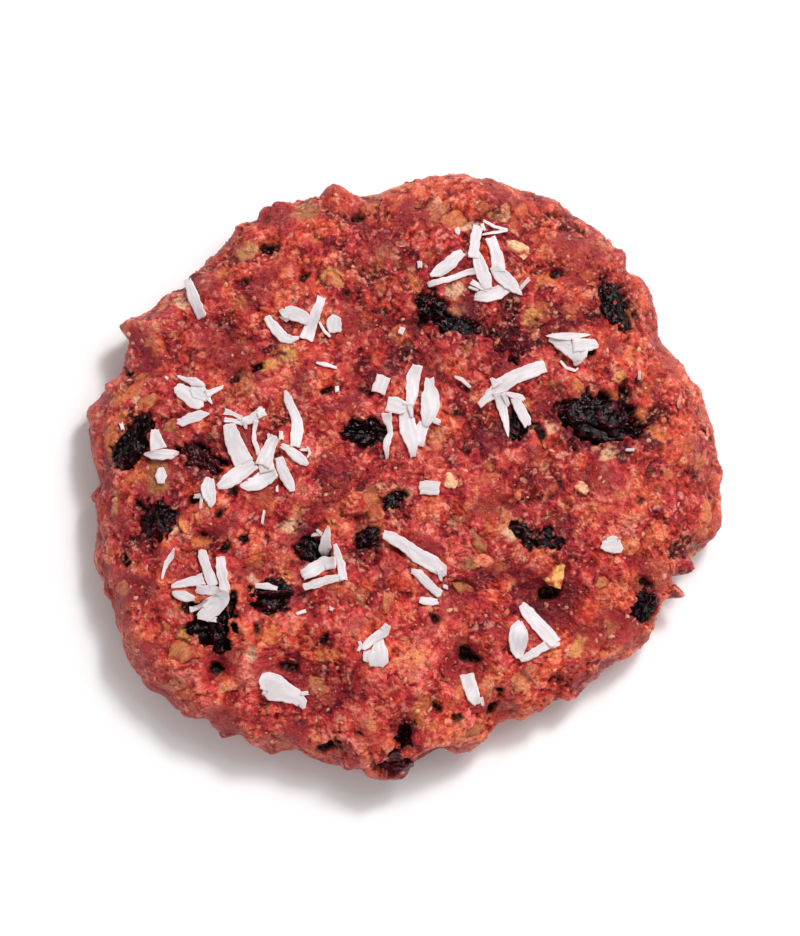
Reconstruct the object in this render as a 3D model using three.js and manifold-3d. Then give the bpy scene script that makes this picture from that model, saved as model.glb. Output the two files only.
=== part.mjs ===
// A soft berry cookie: one thick, craggy round of moist pink-red dough. Dried berries and nut
// chips are pressed into it, and little heaps of coconut strips are baked onto its top.
// Millimetres, +Z up, resting on its flat underside.

import * as THREE from "three";
import { mergeVertices } from "three/addons/utils/BufferGeometryUtils.js";
import Module from "manifold-3d";

const wasm = await Module();
wasm.setup();

// ---- Driving dimensions ----

const CREST_HEIGHT = 12.6; // the dough's top before its lumps and hollows
const WIDEST_HEIGHT = 5.0; // where the side bulges out furthest
const FOOT_INSET = 2.6; // how far the side tucks in under that bulge
const SHOULDER_POWER = 6; // higher gives a flatter top and a squarer shoulder
const MIDDLE = [-0.16, -0.27]; // the outline's own centre, seen from the middle of its box

// The outline's radius every ten degrees, counter-clockwise from +X.
const RIM_RADII = [
  42.1, 41.6, 40.5, 39.4, 41.2, 41.7, 42.1, 41.7, 41.2, 39.1, 38.6, 39.6,
  40.2, 39.3, 39.4, 41.7, 40.5, 42.9, 41.3, 41.8, 42.7, 43.6, 43.8, 42.3,
  40.9, 39.0, 39.6, 39.4, 36.8, 35.2, 36.0, 36.7, 37.5, 38.7, 38.9, 42.0,
];

// Tips and nicks on the side: degrees round the rim, height, how far each spreads, and how far
// it stands out (a nick is negative).
const RIM_CRAGS = [
  [104, 7.0, 2.2, 1.8],
  [98, 8.0, 1.4, -0.9],
  [45, 7.0, 1.8, 1.3],
  [42, 5.5, 1.2, -0.9],
  [336, 6.0, 1.7, 1.9],
  [340, 6.0, 1.4, -1.8],
  [266, 5.0, 3.4, 1.1],
  [275, 5.5, 1.9, -2.0],
  [285, 5.0, 2.6, 1.1],
  [153, 7.0, 2.2, 1.0],
  [161, 7.5, 1.2, -1.1],
  [119, 6.5, 1.6, 0.8],
  [245, 4.0, 1.5, 0.8],
  [257, 8.5, 2.0, -1.3],
  [35, 5.0, 2.0, 0.6],
];

// Broad lumps and hollows of the top: x, y, spread, and height (a hollow is negative).
const LUMPS = [
  [-24.5, 17.6, 4.5, -1.3],
  [-22.2, 13.6, 3.0, -0.8],
  [-7.0, 19.7, 3.6, -1.1],
  [-3.1, 30.5, 4.5, -0.9],
  [-18.4, 29.9, 2.6, -0.9],
  [-6.9, 35.3, 1.8, -1.6],
  [21.9, 21.0, 3.0, -1.0],
  [18.9, 9.9, 3.0, -0.9],
  [4.4, 2.8, 3.5, -0.9],
  [16.0, -4.3, 3.0, -0.7],
  [18.4, -16.6, 4.2, -2.2],
  [6.6, -17.6, 3.6, -1.2],
  [8.0, -25.3, 3.0, -3.0],
  [19.9, -27.6, 1.6, -1.0],
  [11.4, -31.5, 2.2, -1.2],
  [-0.3, -33.9, 2.0, -1.6],
  [-4.4, -29.7, 4.0, -0.7],
  [-11.9, -28.7, 4.5, -1.0],
  [-16.6, -25.8, 3.0, -1.0],
  [-2.3, -11.6, 3.0, -0.8],
  [-13.4, -10.1, 3.2, -1.2],
  [-25.5, -25.8, 2.2, -1.2],
  [-26.8, -8.3, 2.5, -0.9],
  [31.5, -14.4, 1.8, -1.5],
  [-20.9, 24.6, 5.0, 0.7],
  [-14.3, 31.1, 5.0, 0.6],
  [5.5, 35.1, 5.0, 0.5],
  [19.9, 29.2, 5.0, 0.5],
  [1.5, 25.2, 4.5, 0.5],
  [30.5, 9.4, 5.0, 0.7],
  [31.8, 0.2, 5.0, 0.7],
  [9.4, 0.2, 6.0, 0.5],
  [16.6, -12.0, 2.4, 1.1],
  [9.7, -22.2, 3.2, 0.8],
  [25.2, -23.5, 4.0, 0.5],
  [7.4, -34.7, 4.0, 0.9],
  [-7.7, -22.2, 4.5, 0.5],
  [-18.2, -22.2, 4.0, 0.7],
  [-10.3, -3.7, 6.0, 0.6],
  [-32.7, -11.6, 4.5, 0.6],
  [-28.8, -19.5, 4.0, 0.6],
  [-36.6, 10.1, 4.0, 0.8],
];

// Small round clods of dough that crowd together over the top and the side.
const CLOD_COUNT = 420;
const CLOD_RADII = [1.8, 4.2];
const CLOD_HEIGHTS = [0.35, 1.15];
const CLOD_MEAN = 0.45; // their average thickness, taken off again
const RELIEF_FADE = 2.5; // the relief dies away over this height above the flat underside

// Dried berries: x, y, long, wide, turn in degrees, and how far the middle sits under the top.
const DRIED_BERRIES = [
  [25.5, 7.4, 10.3, 5.6, -14, 1.3],
  [27.8, 22.8, 6.4, 3.4, -76, 1.1],
  [-36.4, 3.8, 6.9, 3.7, 63, 1.0],
  [3.0, 22.1, 3.6, 2.8, -20, 1.0],
  [6.6, 19.6, 5.4, 2.8, -14, 0.9],
  [13.2, 16.7, 4.5, 3.0, -25, 1.0],
  [14.6, 6.1, 4.5, 2.7, 75, 1.2],
  [-6.1, 4.9, 5.0, 3.3, 10, 1.1],
  [-32.7, -6.5, 5.2, 4.0, 60, 1.1],
  [-27.4, 1.8, 5.8, 3.0, -25, 1.2],
  [-25.9, -20.2, 6.0, 5.0, -70, 1.6],
  [-18.4, -16.6, 4.8, 4.0, 5, 1.1],
  [-12.8, -10.6, 4.0, 3.0, -30, 1.1],
  [-2.2, -4.0, 2.9, 2.2, 30, 0.9],
  [-5.2, -8.7, 3.4, 1.9, 20, 0.9],
  [15.0, -7.6, 3.2, 1.9, -60, 0.9],
  [18.4, -8.9, 3.0, 2.2, -10, 0.8],
  [31.8, -17.4, 4.0, 3.4, 75, 0.9],
  [-0.4, -35.0, 3.0, 2.3, 80, 0.8],
  [-1.2, -38.6, 4.6, 3.6, 20, 1.2],
];
const BERRY_FLATNESS = 0.72; // a berry's depth over its width
const BERRY_WRINKLE = 0.1;
const BERRY_SIDES = [10, 7]; // round and from tip to tip
const SMALL_BERRY = 4; // shorter ones have fewer sides
const SMALL_BERRY_SIDES = [8, 5];

// Nut chips, in the same six numbers.
const NUT_CHIPS = [
  [6.1, 34.0, 4.6, 2.6, 12, 1.0],
  [-29.6, -23.6, 4.4, 3.0, 0, 1.1],
  [7.4, -15.2, 3.3, 2.0, -10, 0.8],
  [9.1, -9.7, 3.2, 1.9, -50, 0.8],
  [-34.0, 9.4, 3.2, 2.0, 25, 0.6],
  [-31.4, 6.0, 2.6, 2.0, 55, 0.9],
  [14.4, 30.3, 3.0, 2.4, -30, 0.6],
  [19.9, -13.3, 3.7, 2.2, 65, 0.5],
  [-9.9, 25.7, 2.6, 2.0, -50, 0.6],
  [22.2, 11.9, 2.8, 1.6, -10, 0.5],
  [5.4, -1.4, 2.5, 1.8, 80, 0.5],
  [-18.3, -21.4, 2.5, 2.2, 20, 0.6],
  [-3.0, -17.6, 2.7, 1.7, 70, 0.5],
  [23.2, -2.0, 2.1, 1.9, 10, 0.5],
  [8.6, -33.4, 3.2, 1.9, 60, 0.8],
  [25.8, -14.4, 2.4, 2.2, 0, 0.6],
];
const NUT_FLATNESS = 0.7;
const NUT_SIDES = [6, 4];

const POCKET_GAP = 0.34; // air between the dough and what is pressed into it
const POCKET_SIDES = [7, 5];

// Coconut strips: x, y, turn in degrees, long, wide, and bow (positive bends to the left).
const COCONUT = [
  // by the left rim, and the crossed pieces near the upper left
  [-28.1, 22.8, -70, 5.5, 1.4, -0.4],
  [-12.5, 20.1, 72, 5.7, 1.6, 0],
  [-15.6, 20.7, -23, 3.6, 1.7, -0.3],
  [-16.8, 18.8, -40, 5.0, 1.1, -0.4],
  [-9.8, 19.4, 0, 1.9, 2.0, 0],
  // the tall heap at the top
  [8.8, 30.0, 85, 4.4, 1.6, 0],
  [9.7, 26.2, -64, 4.5, 1.7, 0],
  [11.4, 28.7, -72, 4.6, 1.7, 0.3],
  [13.0, 25.1, -47, 5.2, 1.8, -0.3],
  [4.9, 27.2, 35, 5.1, 1.7, 0],
  [5.7, 25.5, 16, 6.6, 1.1, 0],
  [10.9, 23.4, 14, 5.0, 1.6, -0.4],
  // the folded flake at the right, and the open hand below it
  [21.1, 17.6, 1, 6.0, 1.5, 0],
  [23.2, 15.3, 39, 3.7, 2.4, 0],
  [14.5, 12.3, 27, 7.8, 1.8, -0.3],
  [10.2, 9.6, 45, 3.0, 1.0, 0],
  [12.3, 7.3, -76, 5.6, 1.3, 0.3],
  [14.6, 7.9, -64, 4.2, 1.6, 0],
  // the heap in the middle
  [0.7, 10.5, 83, 6.8, 1.6, 0],
  [2.6, 9.3, 89, 6.1, 2.1, -0.3],
  [-0.3, 5.7, -78, 7.5, 1.6, 0.4],
  [1.8, 5.1, 65, 3.8, 1.7, 0],
  [-1.4, 8.8, 17, 2.7, 2.0, 0],
  [-2.9, 4.8, -89, 6.1, 1.1, 0.4],
  [-3.6, 11.5, 15, 2.6, 2.4, 0],
  // the leaves at the left, and the little boat under them
  [-28.9, 9.9, -41, 4.9, 2.6, 0.4],
  [-28.4, 11.8, -21, 4.4, 1.1, 0],
  [-28.4, 7.1, 14, 4.2, 1.4, -0.3],
  [-32.9, 4.0, -77, 3.0, 1.6, 0],
  [-32.4, 2.1, 2, 4.5, 1.3, -0.3],
  [-32.6, -0.4, 66, 2.3, 1.4, 0],
  // the largest heap, left of the middle
  [-23.0, 3.5, -82, 5.6, 2.2, 0],
  [-18.8, 1.9, 58, 5.9, 2.2, 0],
  [-22.6, -0.6, 30, 5.3, 2.2, -0.3],
  [-19.8, -1.1, 22, 4.8, 2.2, -0.7],
  [-21.2, 1.3, 0, 2.9, 2.9, 0],
  [-22.9, 7.2, -30, 3.2, 1.2, 0],
  [-20.4, 6.9, 37, 3.5, 1.3, 0],
  [-15.3, 8.3, -64, 4.5, 1.3, 0],
  [-14.7, 4.9, 76, 3.3, 1.6, 0],
  [-15.1, 2.3, -38, 4.3, 1.4, 0],
  [-16.2, -0.3, -69, 4.8, 1.4, 0],
  [-26.1, -2.7, 88, 3.7, 1.7, 0],
  // the heap below the middle, and the long pair beside it
  [-10.8, -9.2, 84, 3.8, 1.6, 0],
  [-9.0, -12.0, -77, 4.7, 1.2, 0],
  [-11.8, -12.8, 29, 4.9, 2.1, -0.3],
  [-11.4, -14.8, 15, 5.2, 1.2, 0],
  [0.7, -10.6, -34, 9.6, 2.0, -0.4],
  [2.2, -14.7, -41, 5.0, 1.3, 0],
  [2.7, -2.2, 8, 2.9, 2.0, 0],
  // the spread hand over the lower left berry
  [-26.6, -12.7, -75, 4.5, 1.4, 0],
  [-24.5, -13.7, 85, 4.4, 1.6, 0],
  [-29.1, -14.5, 14, 4.3, 1.2, 0],
  [-29.5, -16.3, -24, 2.9, 1.2, 0],
  [-26.4, -15.4, 0, 3.2, 1.2, 0],
  [-25.5, -17.6, 50, 4.7, 2.6, 0],
  // the lower edge, from the big flake to the lone round one
  [-16.6, -29.1, -30, 6.6, 3.2, 0],
  [-4.5, -22.0, 41, 4.6, 1.2, 0],
  [-4.1, -24.0, 74, 3.3, 2.6, 0],
  [8.2, -28.5, -74, 4.2, 2.0, 0],
  [17.4, -20.0, -47, 7.1, 2.0, 0],
  [17.2, -23.7, 24, 5.5, 1.4, 0],
  [14.5, -22.0, 80, 4.5, 2.4, 0],
  [26.7, -9.6, 3, 2.5, 2.4, 0],
];
const STRIP_PROUD = 0.75; // how far a strip's top stands over the dough under it
const STRIP_SUNK = 0.9; // how far its root goes in
const STRIP_STEP = 3.0; // length of one straight stretch of a strip
const STRIP_TAPER = 0.72; // width at the ends over width in the middle

// How finely the dough's skin is divided.
const TOP_RINGS = 23;
const SIDE_RINGS = 4;
const POINTS_PER_RING = 6; // the nth ring holds n times as many

// ---- Small helpers ----

const RIGHT_ANGLE = Math.PI / 2;
const FULL_TURN = 2 * Math.PI;
const radians = THREE.MathUtils.degToRad;
const between = ([low, high], share) => low + (high - low) * share;

// A repeatable draw between 0 and 1 for piece `n`; `k` tells one piece's draws apart.
function draw(n, k) {
  const mixed = Math.sin(n * 12.9898 + k * 78.233) * 43758.5453;
  return mixed - Math.floor(mixed);
}

// ---- The dough's form ----

// A smooth closed curve through the rim radii.
function rimRadius(angle) {
  const count = RIM_RADII.length;
  const place = (((angle / FULL_TURN) % 1) + 1) % 1 * count;
  const step = Math.floor(place);
  const share = place - step;
  const [before, from, to, after] = [-1, 0, 1, 2].map(
    (shift) => RIM_RADII[(step + shift + count) % count],
  );
  const leaving = (to - before) / 2;
  const arriving = (after - from) / 2;
  const curve = 2 * (from - to) + leaving + arriving;
  const pull = 3 * (to - from) - 2 * leaving - arriving;
  return ((curve * share + pull) * share + leaving) * share + from;
}

// Half of the cookie's side view, from the middle of the top to the foot: at each point the
// share of the rim radius it reaches, the inset taken off that, and its height.
function sideView(steps) {
  const points = [];
  for (let i = 0; i <= steps; i++) {
    const share = 1 - (1 - i / steps) ** 2;
    const rise = (CREST_HEIGHT - WIDEST_HEIGHT) * Math.sqrt(1 - share ** SHOULDER_POWER);
    points.push({ share, inset: 0, height: WIDEST_HEIGHT + rise });
  }
  for (let i = 1; i <= steps; i++) {
    const turn = (RIGHT_ANGLE * i) / steps;
    const inset = FOOT_INSET * (1 - Math.cos(turn));
    points.push({ share: 1, inset, height: WIDEST_HEIGHT * (1 - Math.sin(turn)) });
  }
  return points;
}

const TYPICAL_RADIUS = 40;
const SIDE_STEPS = 400;
const SIDE_VIEW = sideView(SIDE_STEPS);
const reachOf = ({ share, inset }) => share * TYPICAL_RADIUS - inset;
const TRAVEL = [0]; // the way along the side view to each of its points
for (let i = 1; i < SIDE_VIEW.length; i++) {
  const across = reachOf(SIDE_VIEW[i]) - reachOf(SIDE_VIEW[i - 1]);
  const down = SIDE_VIEW[i].height - SIDE_VIEW[i - 1].height;
  TRAVEL.push(TRAVEL[i - 1] + Math.hypot(across, down));
}
const TRAVEL_TO_WIDEST = TRAVEL[SIDE_STEPS];
const TRAVEL_TO_FOOT = TRAVEL.at(-1);

// The smooth dough, before its relief, at an angle round and a way along the side view.
function smoothDough(angle, travel) {
  const next = Math.min(Math.max(TRAVEL.findIndex((t) => t >= travel), 1), TRAVEL.length - 1);
  const share = (travel - TRAVEL[next - 1]) / (TRAVEL[next] - TRAVEL[next - 1]);
  const [low, high] = [SIDE_VIEW[next - 1], SIDE_VIEW[next]];
  const along = (key) => low[key] + (high[key] - low[key]) * share;
  const radius = rimRadius(angle) * along("share") - along("inset");
  const across = reachOf(high) - reachOf(low);
  const down = high.height - low.height;
  const point = new THREE.Vector3(
    radius * Math.cos(angle),
    radius * Math.sin(angle),
    along("height"),
  );
  const normal = new THREE.Vector3(
    -down * Math.cos(angle),
    -down * Math.sin(angle),
    across,
  ).normalize();
  return { point, normal };
}

const CLODS = Array.from({ length: CLOD_COUNT }, (_, n) => {
  const { point } = smoothDough(
    FULL_TURN * draw(n, 1),
    TRAVEL_TO_FOOT * Math.sqrt(draw(n, 2)),
  );
  return {
    point,
    radius: between(CLOD_RADII, draw(n, 3)),
    height: between(CLOD_HEIGHTS, draw(n, 4)),
  };
});

const CRAGS = RIM_CRAGS.map(([at, height, spread, out]) => {
  const angle = radians(at);
  const radius = rimRadius(angle);
  const point = new THREE.Vector3(radius * Math.cos(angle), radius * Math.sin(angle), height);
  return { point, spread, out };
});

// How far the dough stands out of its smooth form at a point of that form.
function relief(point) {
  let out = -CLOD_MEAN;
  for (const [x, y, spread, height] of LUMPS) {
    const distance = Math.hypot(point.x - x, point.y - y) / spread;
    out += height * Math.exp(-distance * distance);
  }
  for (const crag of CRAGS) {
    const distance = point.distanceTo(crag.point) / crag.spread;
    out += crag.out * Math.exp(-distance * distance);
  }
  let clod = 0;
  for (const { point: middle, radius, height } of CLODS) {
    const distance = point.distanceTo(middle) / radius;
    clod = Math.max(clod, height * (1 - distance * distance));
  }
  return (out + clod) * THREE.MathUtils.smoothstep(point.z, 0, RELIEF_FADE);
}

// The finished skin at an angle round and a way along the side view.
function doughSkin(angle, travel) {
  const { point, normal } = smoothDough(angle, travel);
  return { normal, point: point.clone().addScaledVector(normal, relief(point)) };
}

// The finished skin over a place (x, y) of the top, found along the ray from the centre.
function skinOver(x, y) {
  const angle = Math.atan2(y, x);
  const wanted = Math.hypot(x, y);
  let low = 0;
  let high = TRAVEL_TO_WIDEST;
  while (high - low > 0.01) {
    const middle = (low + high) / 2;
    const { point } = smoothDough(angle, middle);
    if (Math.hypot(point.x, point.y) < wanted) low = middle;
    else high = middle;
  }
  return doughSkin(angle, low);
}

// The dough as one closed skin: rings from the middle of the top to the foot, then a flat base.
function doughGeometry() {
  const corners = [];
  const faces = [];
  const rings = [];
  const put = ({ x, y, z }) => corners.push(x, y, z) / 3 - 1;
  const ring = (count, travel) => {
    const turn = (n) => (FULL_TURN * n) / count;
    return Array.from({ length: count }, (_, n) => put(doughSkin(turn(n), travel).point));
  };
  const crown = put(doughSkin(0, 0).point);
  for (let n = 1; n <= TOP_RINGS; n++) {
    rings.push(ring(n * POINTS_PER_RING, (TRAVEL_TO_WIDEST * n) / TOP_RINGS));
  }
  const tuck = TRAVEL_TO_FOOT - TRAVEL_TO_WIDEST;
  for (let n = 1; n <= SIDE_RINGS; n++) {
    const travel = TRAVEL_TO_WIDEST + (tuck * n) / SIDE_RINGS;
    rings.push(ring(TOP_RINGS * POINTS_PER_RING, travel));
  }
  fan(faces, crown, rings[0]);
  for (let n = 1; n < rings.length; n++) {
    stitch(faces, rings[n - 1], rings[n]);
  }
  const base = put({ x: 0, y: 0, z: 0 });
  fan(faces, base, [...rings.at(-1)].reverse());
  return solidGeometry(corners, faces);
}

function fan(faces, middle, ring) {
  ring.forEach((corner, n) => faces.push(middle, corner, ring[(n + 1) % ring.length]));
}

// Joins two rings that may hold different numbers of points, going round both together.
function stitch(faces, inner, outer) {
  let i = 0;
  let o = 0;
  while (i < inner.length || o < outer.length) {
    const innerPoint = inner[i % inner.length];
    const outerPoint = outer[o % outer.length];
    const innerNext = (i + 1) / inner.length;
    const outerNext = (o + 1) / outer.length;
    if (outerNext <= innerNext) {
      faces.push(innerPoint, outerPoint, outer[(o + 1) % outer.length]);
      o++;
    } else {
      faces.push(innerPoint, outerPoint, inner[(i + 1) % inner.length]);
      i++;
    }
  }
}

function solidGeometry(corners, faces) {
  const geometry = new THREE.BufferGeometry();
  geometry.setAttribute("position", new THREE.Float32BufferAttribute(corners, 3));
  geometry.setIndex(faces);
  return geometry;
}

// ---- What lies on the dough or is pressed into it ----

// Axes of a piece that lies on the skin: X along it, Y across it, Z out of the dough.
function axesOn(normal, turn) {
  const along = new THREE.Vector3(Math.cos(turn), Math.sin(turn), 0);
  along.addScaledVector(normal, -along.dot(normal)).normalize();
  const across = new THREE.Vector3().crossVectors(normal, along);
  return { along, across };
}

// A closed strip of four-sided section that follows the skin, narrower at its two ends.
function stripGeometry([x, y, turnDegrees, long, wide, bow]) {
  const turn = radians(turnDegrees);
  const stretches = Math.max(2, Math.round(long / STRIP_STEP));
  const corners = [];
  const faces = [];
  for (let n = 0; n <= stretches; n++) {
    const share = (2 * n) / stretches - 1;
    const ahead = (share * long) / 2;
    const aside = bow * (1 - share * share);
    const { point, normal } = skinOver(
      x + ahead * Math.cos(turn) - aside * Math.sin(turn),
      y + ahead * Math.sin(turn) + aside * Math.cos(turn),
    );
    const { across } = axesOn(normal, turn);
    const half = (wide / 2) * (1 - (1 - STRIP_TAPER) * share ** 4);
    for (const [side, lift] of [
      [half, -STRIP_SUNK],
      [half, STRIP_PROUD],
      [-half, STRIP_PROUD],
      [-half, -STRIP_SUNK],
    ]) {
      const corner = point.clone().addScaledVector(normal, lift).addScaledVector(across, side);
      corners.push(...corner.toArray());
    }
  }
  for (let n = 0; n < stretches; n++) {
    for (let side = 0; side < 4; side++) {
      const [a, b] = [4 * n + side, 4 * n + ((side + 1) % 4)];
      faces.push(a, b, b + 4, a, b + 4, a + 4);
    }
  }
  const last = 4 * stretches;
  faces.push(0, 3, 2, 0, 2, 1, last, last + 1, last + 2, last, last + 2, last + 3);
  return solidGeometry(corners, faces);
}

// Turns a ball of radius 1 into a piece pressed into the skin at its place.
function pressedIn(geometry, [x, y, long, wide, turnDegrees, sunk], flatness, gap = 0) {
  const { point, normal } = skinOver(x, y);
  const { along, across } = axesOn(normal, radians(turnDegrees));
  const size = new THREE.Vector3(
    long / 2 + gap,
    wide / 2 + gap,
    (wide / 2) * flatness + gap,
  );
  const middle = point.clone().addScaledVector(normal, -sunk * flatness);
  const place = new THREE.Matrix4().makeBasis(along, across, normal).scale(size);
  return geometry.applyMatrix4(place.setPosition(middle));
}

// A ball of radius 1 with its two tips on the X axis.
const lyingBall = (sides) => new THREE.SphereGeometry(1, ...sides).rotateZ(RIGHT_ANGLE);

// A lying ball whose skin is drawn into long furrows, as a dried berry's is.
function wrinkledBall(n, long) {
  const ball = lyingBall(long < SMALL_BERRY ? SMALL_BERRY_SIDES : BERRY_SIDES);
  const corner = new THREE.Vector3();
  const places = ball.attributes.position;
  for (let i = 0; i < places.count; i++) {
    corner.fromBufferAttribute(places, i);
    const around = Math.atan2(corner.z, corner.y);
    const furrow = Math.sin(3 * around + 2 * corner.x + n) + Math.sin(5 * around - corner.x - n);
    corner.multiplyScalar(1 - BERRY_WRINKLE * (0.5 + 0.25 * furrow));
    places.setXYZ(i, ...corner.toArray());
  }
  return ball;
}

// A blunt chip: a faceted ball with its corners drawn in unevenly.
function nutBall(n) {
  const ball = mergeVertices(bare(lyingBall(NUT_SIDES)));
  const corner = new THREE.Vector3();
  const places = ball.attributes.position;
  for (let i = 0; i < places.count; i++) {
    corner.fromBufferAttribute(places, i);
    corner.multiplyScalar(1 - 0.18 * draw(n, i + 5));
    places.setXYZ(i, ...corner.toArray());
  }
  return ball;
}

// ---- Joining and cutting ----

function bare(geometry) {
  geometry.deleteAttribute("normal");
  geometry.deleteAttribute("uv");
  return geometry;
}

function toSolid(geometry) {
  const merged = mergeVertices(bare(geometry));
  return new wasm.Manifold(
    new wasm.Mesh({
      numProp: 3,
      vertProperties: merged.attributes.position.array,
      triVerts: new Uint32Array(merged.index.array),
    }),
  );
}

function toGeometry(solid) {
  const { vertProperties, triVerts } = solid.getMesh();
  const geometry = solidGeometry(vertProperties, Array.from(triVerts));
  geometry.computeVertexNormals();
  return geometry;
}

// The largest connected piece, without the scraps that a cut leaves.
function largest(solid) {
  return solid.decompose().reduce((a, b) => (b.volume() > a.volume() ? b : a));
}

function finishedDough() {
  let dough = toSolid(doughGeometry());
  for (const strip of COCONUT) {
    dough = dough.add(toSolid(stripGeometry(strip)));
  }
  const pocket = (piece, sides, flatness) =>
    pressedIn(lyingBall(sides), piece, flatness, POCKET_GAP);
  const pockets = [
    ...DRIED_BERRIES.map((berry) => pocket(berry, POCKET_SIDES, BERRY_FLATNESS)),
    ...NUT_CHIPS.map((chip) => pocket(chip, NUT_SIDES, NUT_FLATNESS)),
  ];
  for (const hole of pockets) {
    dough = dough.subtract(toSolid(hole));
  }
  return toGeometry(largest(dough));
}

// ---- The cookie ----

const doughFinish = new THREE.MeshStandardMaterial({ color: 0xa83c32, roughness: 0.55 });
const berryFinish = new THREE.MeshStandardMaterial({ color: 0x1c1014, roughness: 0.35 });
const nutFinish = new THREE.MeshStandardMaterial({ color: 0xc08b4c, roughness: 0.6 });

const cookie = new THREE.Group();
cookie.name = "berry_cookie";

function addPiece(name, geometry, finish) {
  const piece = new THREE.Mesh(geometry, finish);
  piece.name = name;
  cookie.add(piece);
}

const numbered = (kind, n) => `${kind}_${String(n + 1).padStart(2, "0")}`;

addPiece("dough", finishedDough(), doughFinish);
DRIED_BERRIES.forEach((berry, n) => {
  const geometry = pressedIn(wrinkledBall(n, berry[2]), berry, BERRY_FLATNESS);
  addPiece(numbered("dried_berry", n), geometry, berryFinish);
});
NUT_CHIPS.forEach((chip, n) => {
  addPiece(numbered("nut_chip", n), pressedIn(nutBall(n), chip, NUT_FLATNESS), nutFinish);
});

cookie.position.set(...MIDDLE, 0);

export default cookie;
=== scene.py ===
# %% [markdown]
# # A berry cookie
# The real thing is a soft, thick cookie: moist pink-red dough full of oats and ground nuts,
# with dried berries and nut chips pressed in and little heaps of coconut strips on top. The
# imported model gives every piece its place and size. This lesson builds the surfaces that are
# seen, one kind of piece at a time, as real meshes, so that the crumb holds up from any side.
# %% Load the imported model
import math

import bpy
import numpy as np
from mathutils import Matrix, Vector, noise
from mathutils.bvhtree import BVHTree


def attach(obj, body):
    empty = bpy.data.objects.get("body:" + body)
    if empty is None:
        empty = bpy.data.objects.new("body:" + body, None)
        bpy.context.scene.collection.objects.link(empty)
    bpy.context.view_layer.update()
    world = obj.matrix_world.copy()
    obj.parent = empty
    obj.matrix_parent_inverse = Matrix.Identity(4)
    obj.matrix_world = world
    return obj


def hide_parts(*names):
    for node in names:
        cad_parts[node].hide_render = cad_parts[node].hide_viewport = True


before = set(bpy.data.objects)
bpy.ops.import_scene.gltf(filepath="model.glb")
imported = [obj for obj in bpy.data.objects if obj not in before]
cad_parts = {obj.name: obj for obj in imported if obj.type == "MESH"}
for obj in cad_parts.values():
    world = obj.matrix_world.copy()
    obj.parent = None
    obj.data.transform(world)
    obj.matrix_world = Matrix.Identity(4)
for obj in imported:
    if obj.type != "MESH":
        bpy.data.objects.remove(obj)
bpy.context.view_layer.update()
MM = 0.001

# %% [markdown]
# ## Camera
# The photo looks almost straight down and leans a little towards the lower left, where a band of
# the flank shows. A long lens far away keeps the rim free of perspective. The camera's axes are
# given directly, because a track constraint is unsteady when it looks straight down.
# %% Camera
FRAME_WIDTH_PX = 800
PIXELS_PER_MM = 7.5
RIM_HEIGHT = 5.0
OUTLINE_MIDDLE = Vector((-0.16, -0.27, RIM_HEIGHT))  # the dough outline's centre, mm
OUTLINE_MIDDLE_PX = (404.5, 478.0)
FRAME_MIDDLE_PX = (400.0, 468.0)
CAMERA_DISTANCE = 600.0
LEAN = math.radians(7.6)
LEAN_TOWARDS = math.radians(238)
SENSOR_WIDTH = 36.0
NEAREST_SEEN = 0.01

aside = (FRAME_MIDDLE_PX[0] - OUTLINE_MIDDLE_PX[0]) / PIXELS_PER_MM
ahead = (OUTLINE_MIDDLE_PX[1] - FRAME_MIDDLE_PX[1]) / PIXELS_PER_MM
target = OUTLINE_MIDDLE + Vector((aside, ahead, 0))
away = Vector((
    math.sin(LEAN) * math.cos(LEAN_TOWARDS),
    math.sin(LEAN) * math.sin(LEAN_TOWARDS),
    math.cos(LEAN),
))
right = Vector((0, 1, 0)).cross(away).normalized()
up = away.cross(right)

camera_data = bpy.data.cameras.new("camera")
camera_data.sensor_fit = "HORIZONTAL"
camera_data.sensor_width = SENSOR_WIDTH
camera_data.lens = SENSOR_WIDTH * PIXELS_PER_MM * CAMERA_DISTANCE / FRAME_WIDTH_PX
camera_data.clip_start = NEAREST_SEEN
camera = bpy.data.objects.new("camera", camera_data)
bpy.context.collection.objects.link(camera)
turn = Matrix((right, up, away)).transposed().to_4x4()
camera.matrix_world = Matrix.Translation((target + away * CAMERA_DISTANCE) * MM) @ turn
bpy.context.scene.camera = camera
print("camera at", [round(v, 3) for v in camera.matrix_world.translation])

# %% [markdown]
# ## Floor and light
# The photo has a plain white ground and soft light that comes mostly from the upper right:
# the lower left walls of the hollows are bright and the opposite ones are dark. A broad lamp
# gives that direction, and the room fills the shadows. Neither is mirrored, because a broad
# sheen would turn the black berries grey: a small lamp alone puts glints on the sticky skins.
# %% Floor and light
FLOOR_SIZE = 1.6
FLOOR_COLOUR = (0.93, 0.93, 0.935)
FLOOR_ROUGHNESS = 0.9
KEY_FROM = Vector((0.24, 0.28, 0.60))
KEY_SIZE = 0.34
KEY_POWER = 1.92
GLINT_FROM = Vector((0.20, 0.34, 0.58))
GLINT_SIZE = 0.12
GLINT_POWER = 2.35
SKY_COLOUR = (1.0, 0.985, 0.98)
SKY_OVERHEAD = 0.3
SKY_HORIZON = 1.05


def plain_material(name, colour, roughness):
    material = bpy.data.materials.new(name)
    material.use_nodes = True
    shader = material.node_tree.nodes["Principled BSDF"]
    shader.inputs["Base Color"].default_value = (*colour, 1)
    shader.inputs["Roughness"].default_value = roughness
    return material


def add_node(tree, kind, inputs, **settings):
    """A node whose inputs are set to numbers or linked to other nodes' outputs."""
    made = tree.nodes.new("ShaderNode" + kind)
    for setting, value in settings.items():
        setattr(made, setting, value)
    for socket, value in inputs.items():
        if isinstance(value, bpy.types.NodeSocket):
            tree.links.new(value, made.inputs[socket])
        else:
            made.inputs[socket].default_value = value
    return made


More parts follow.
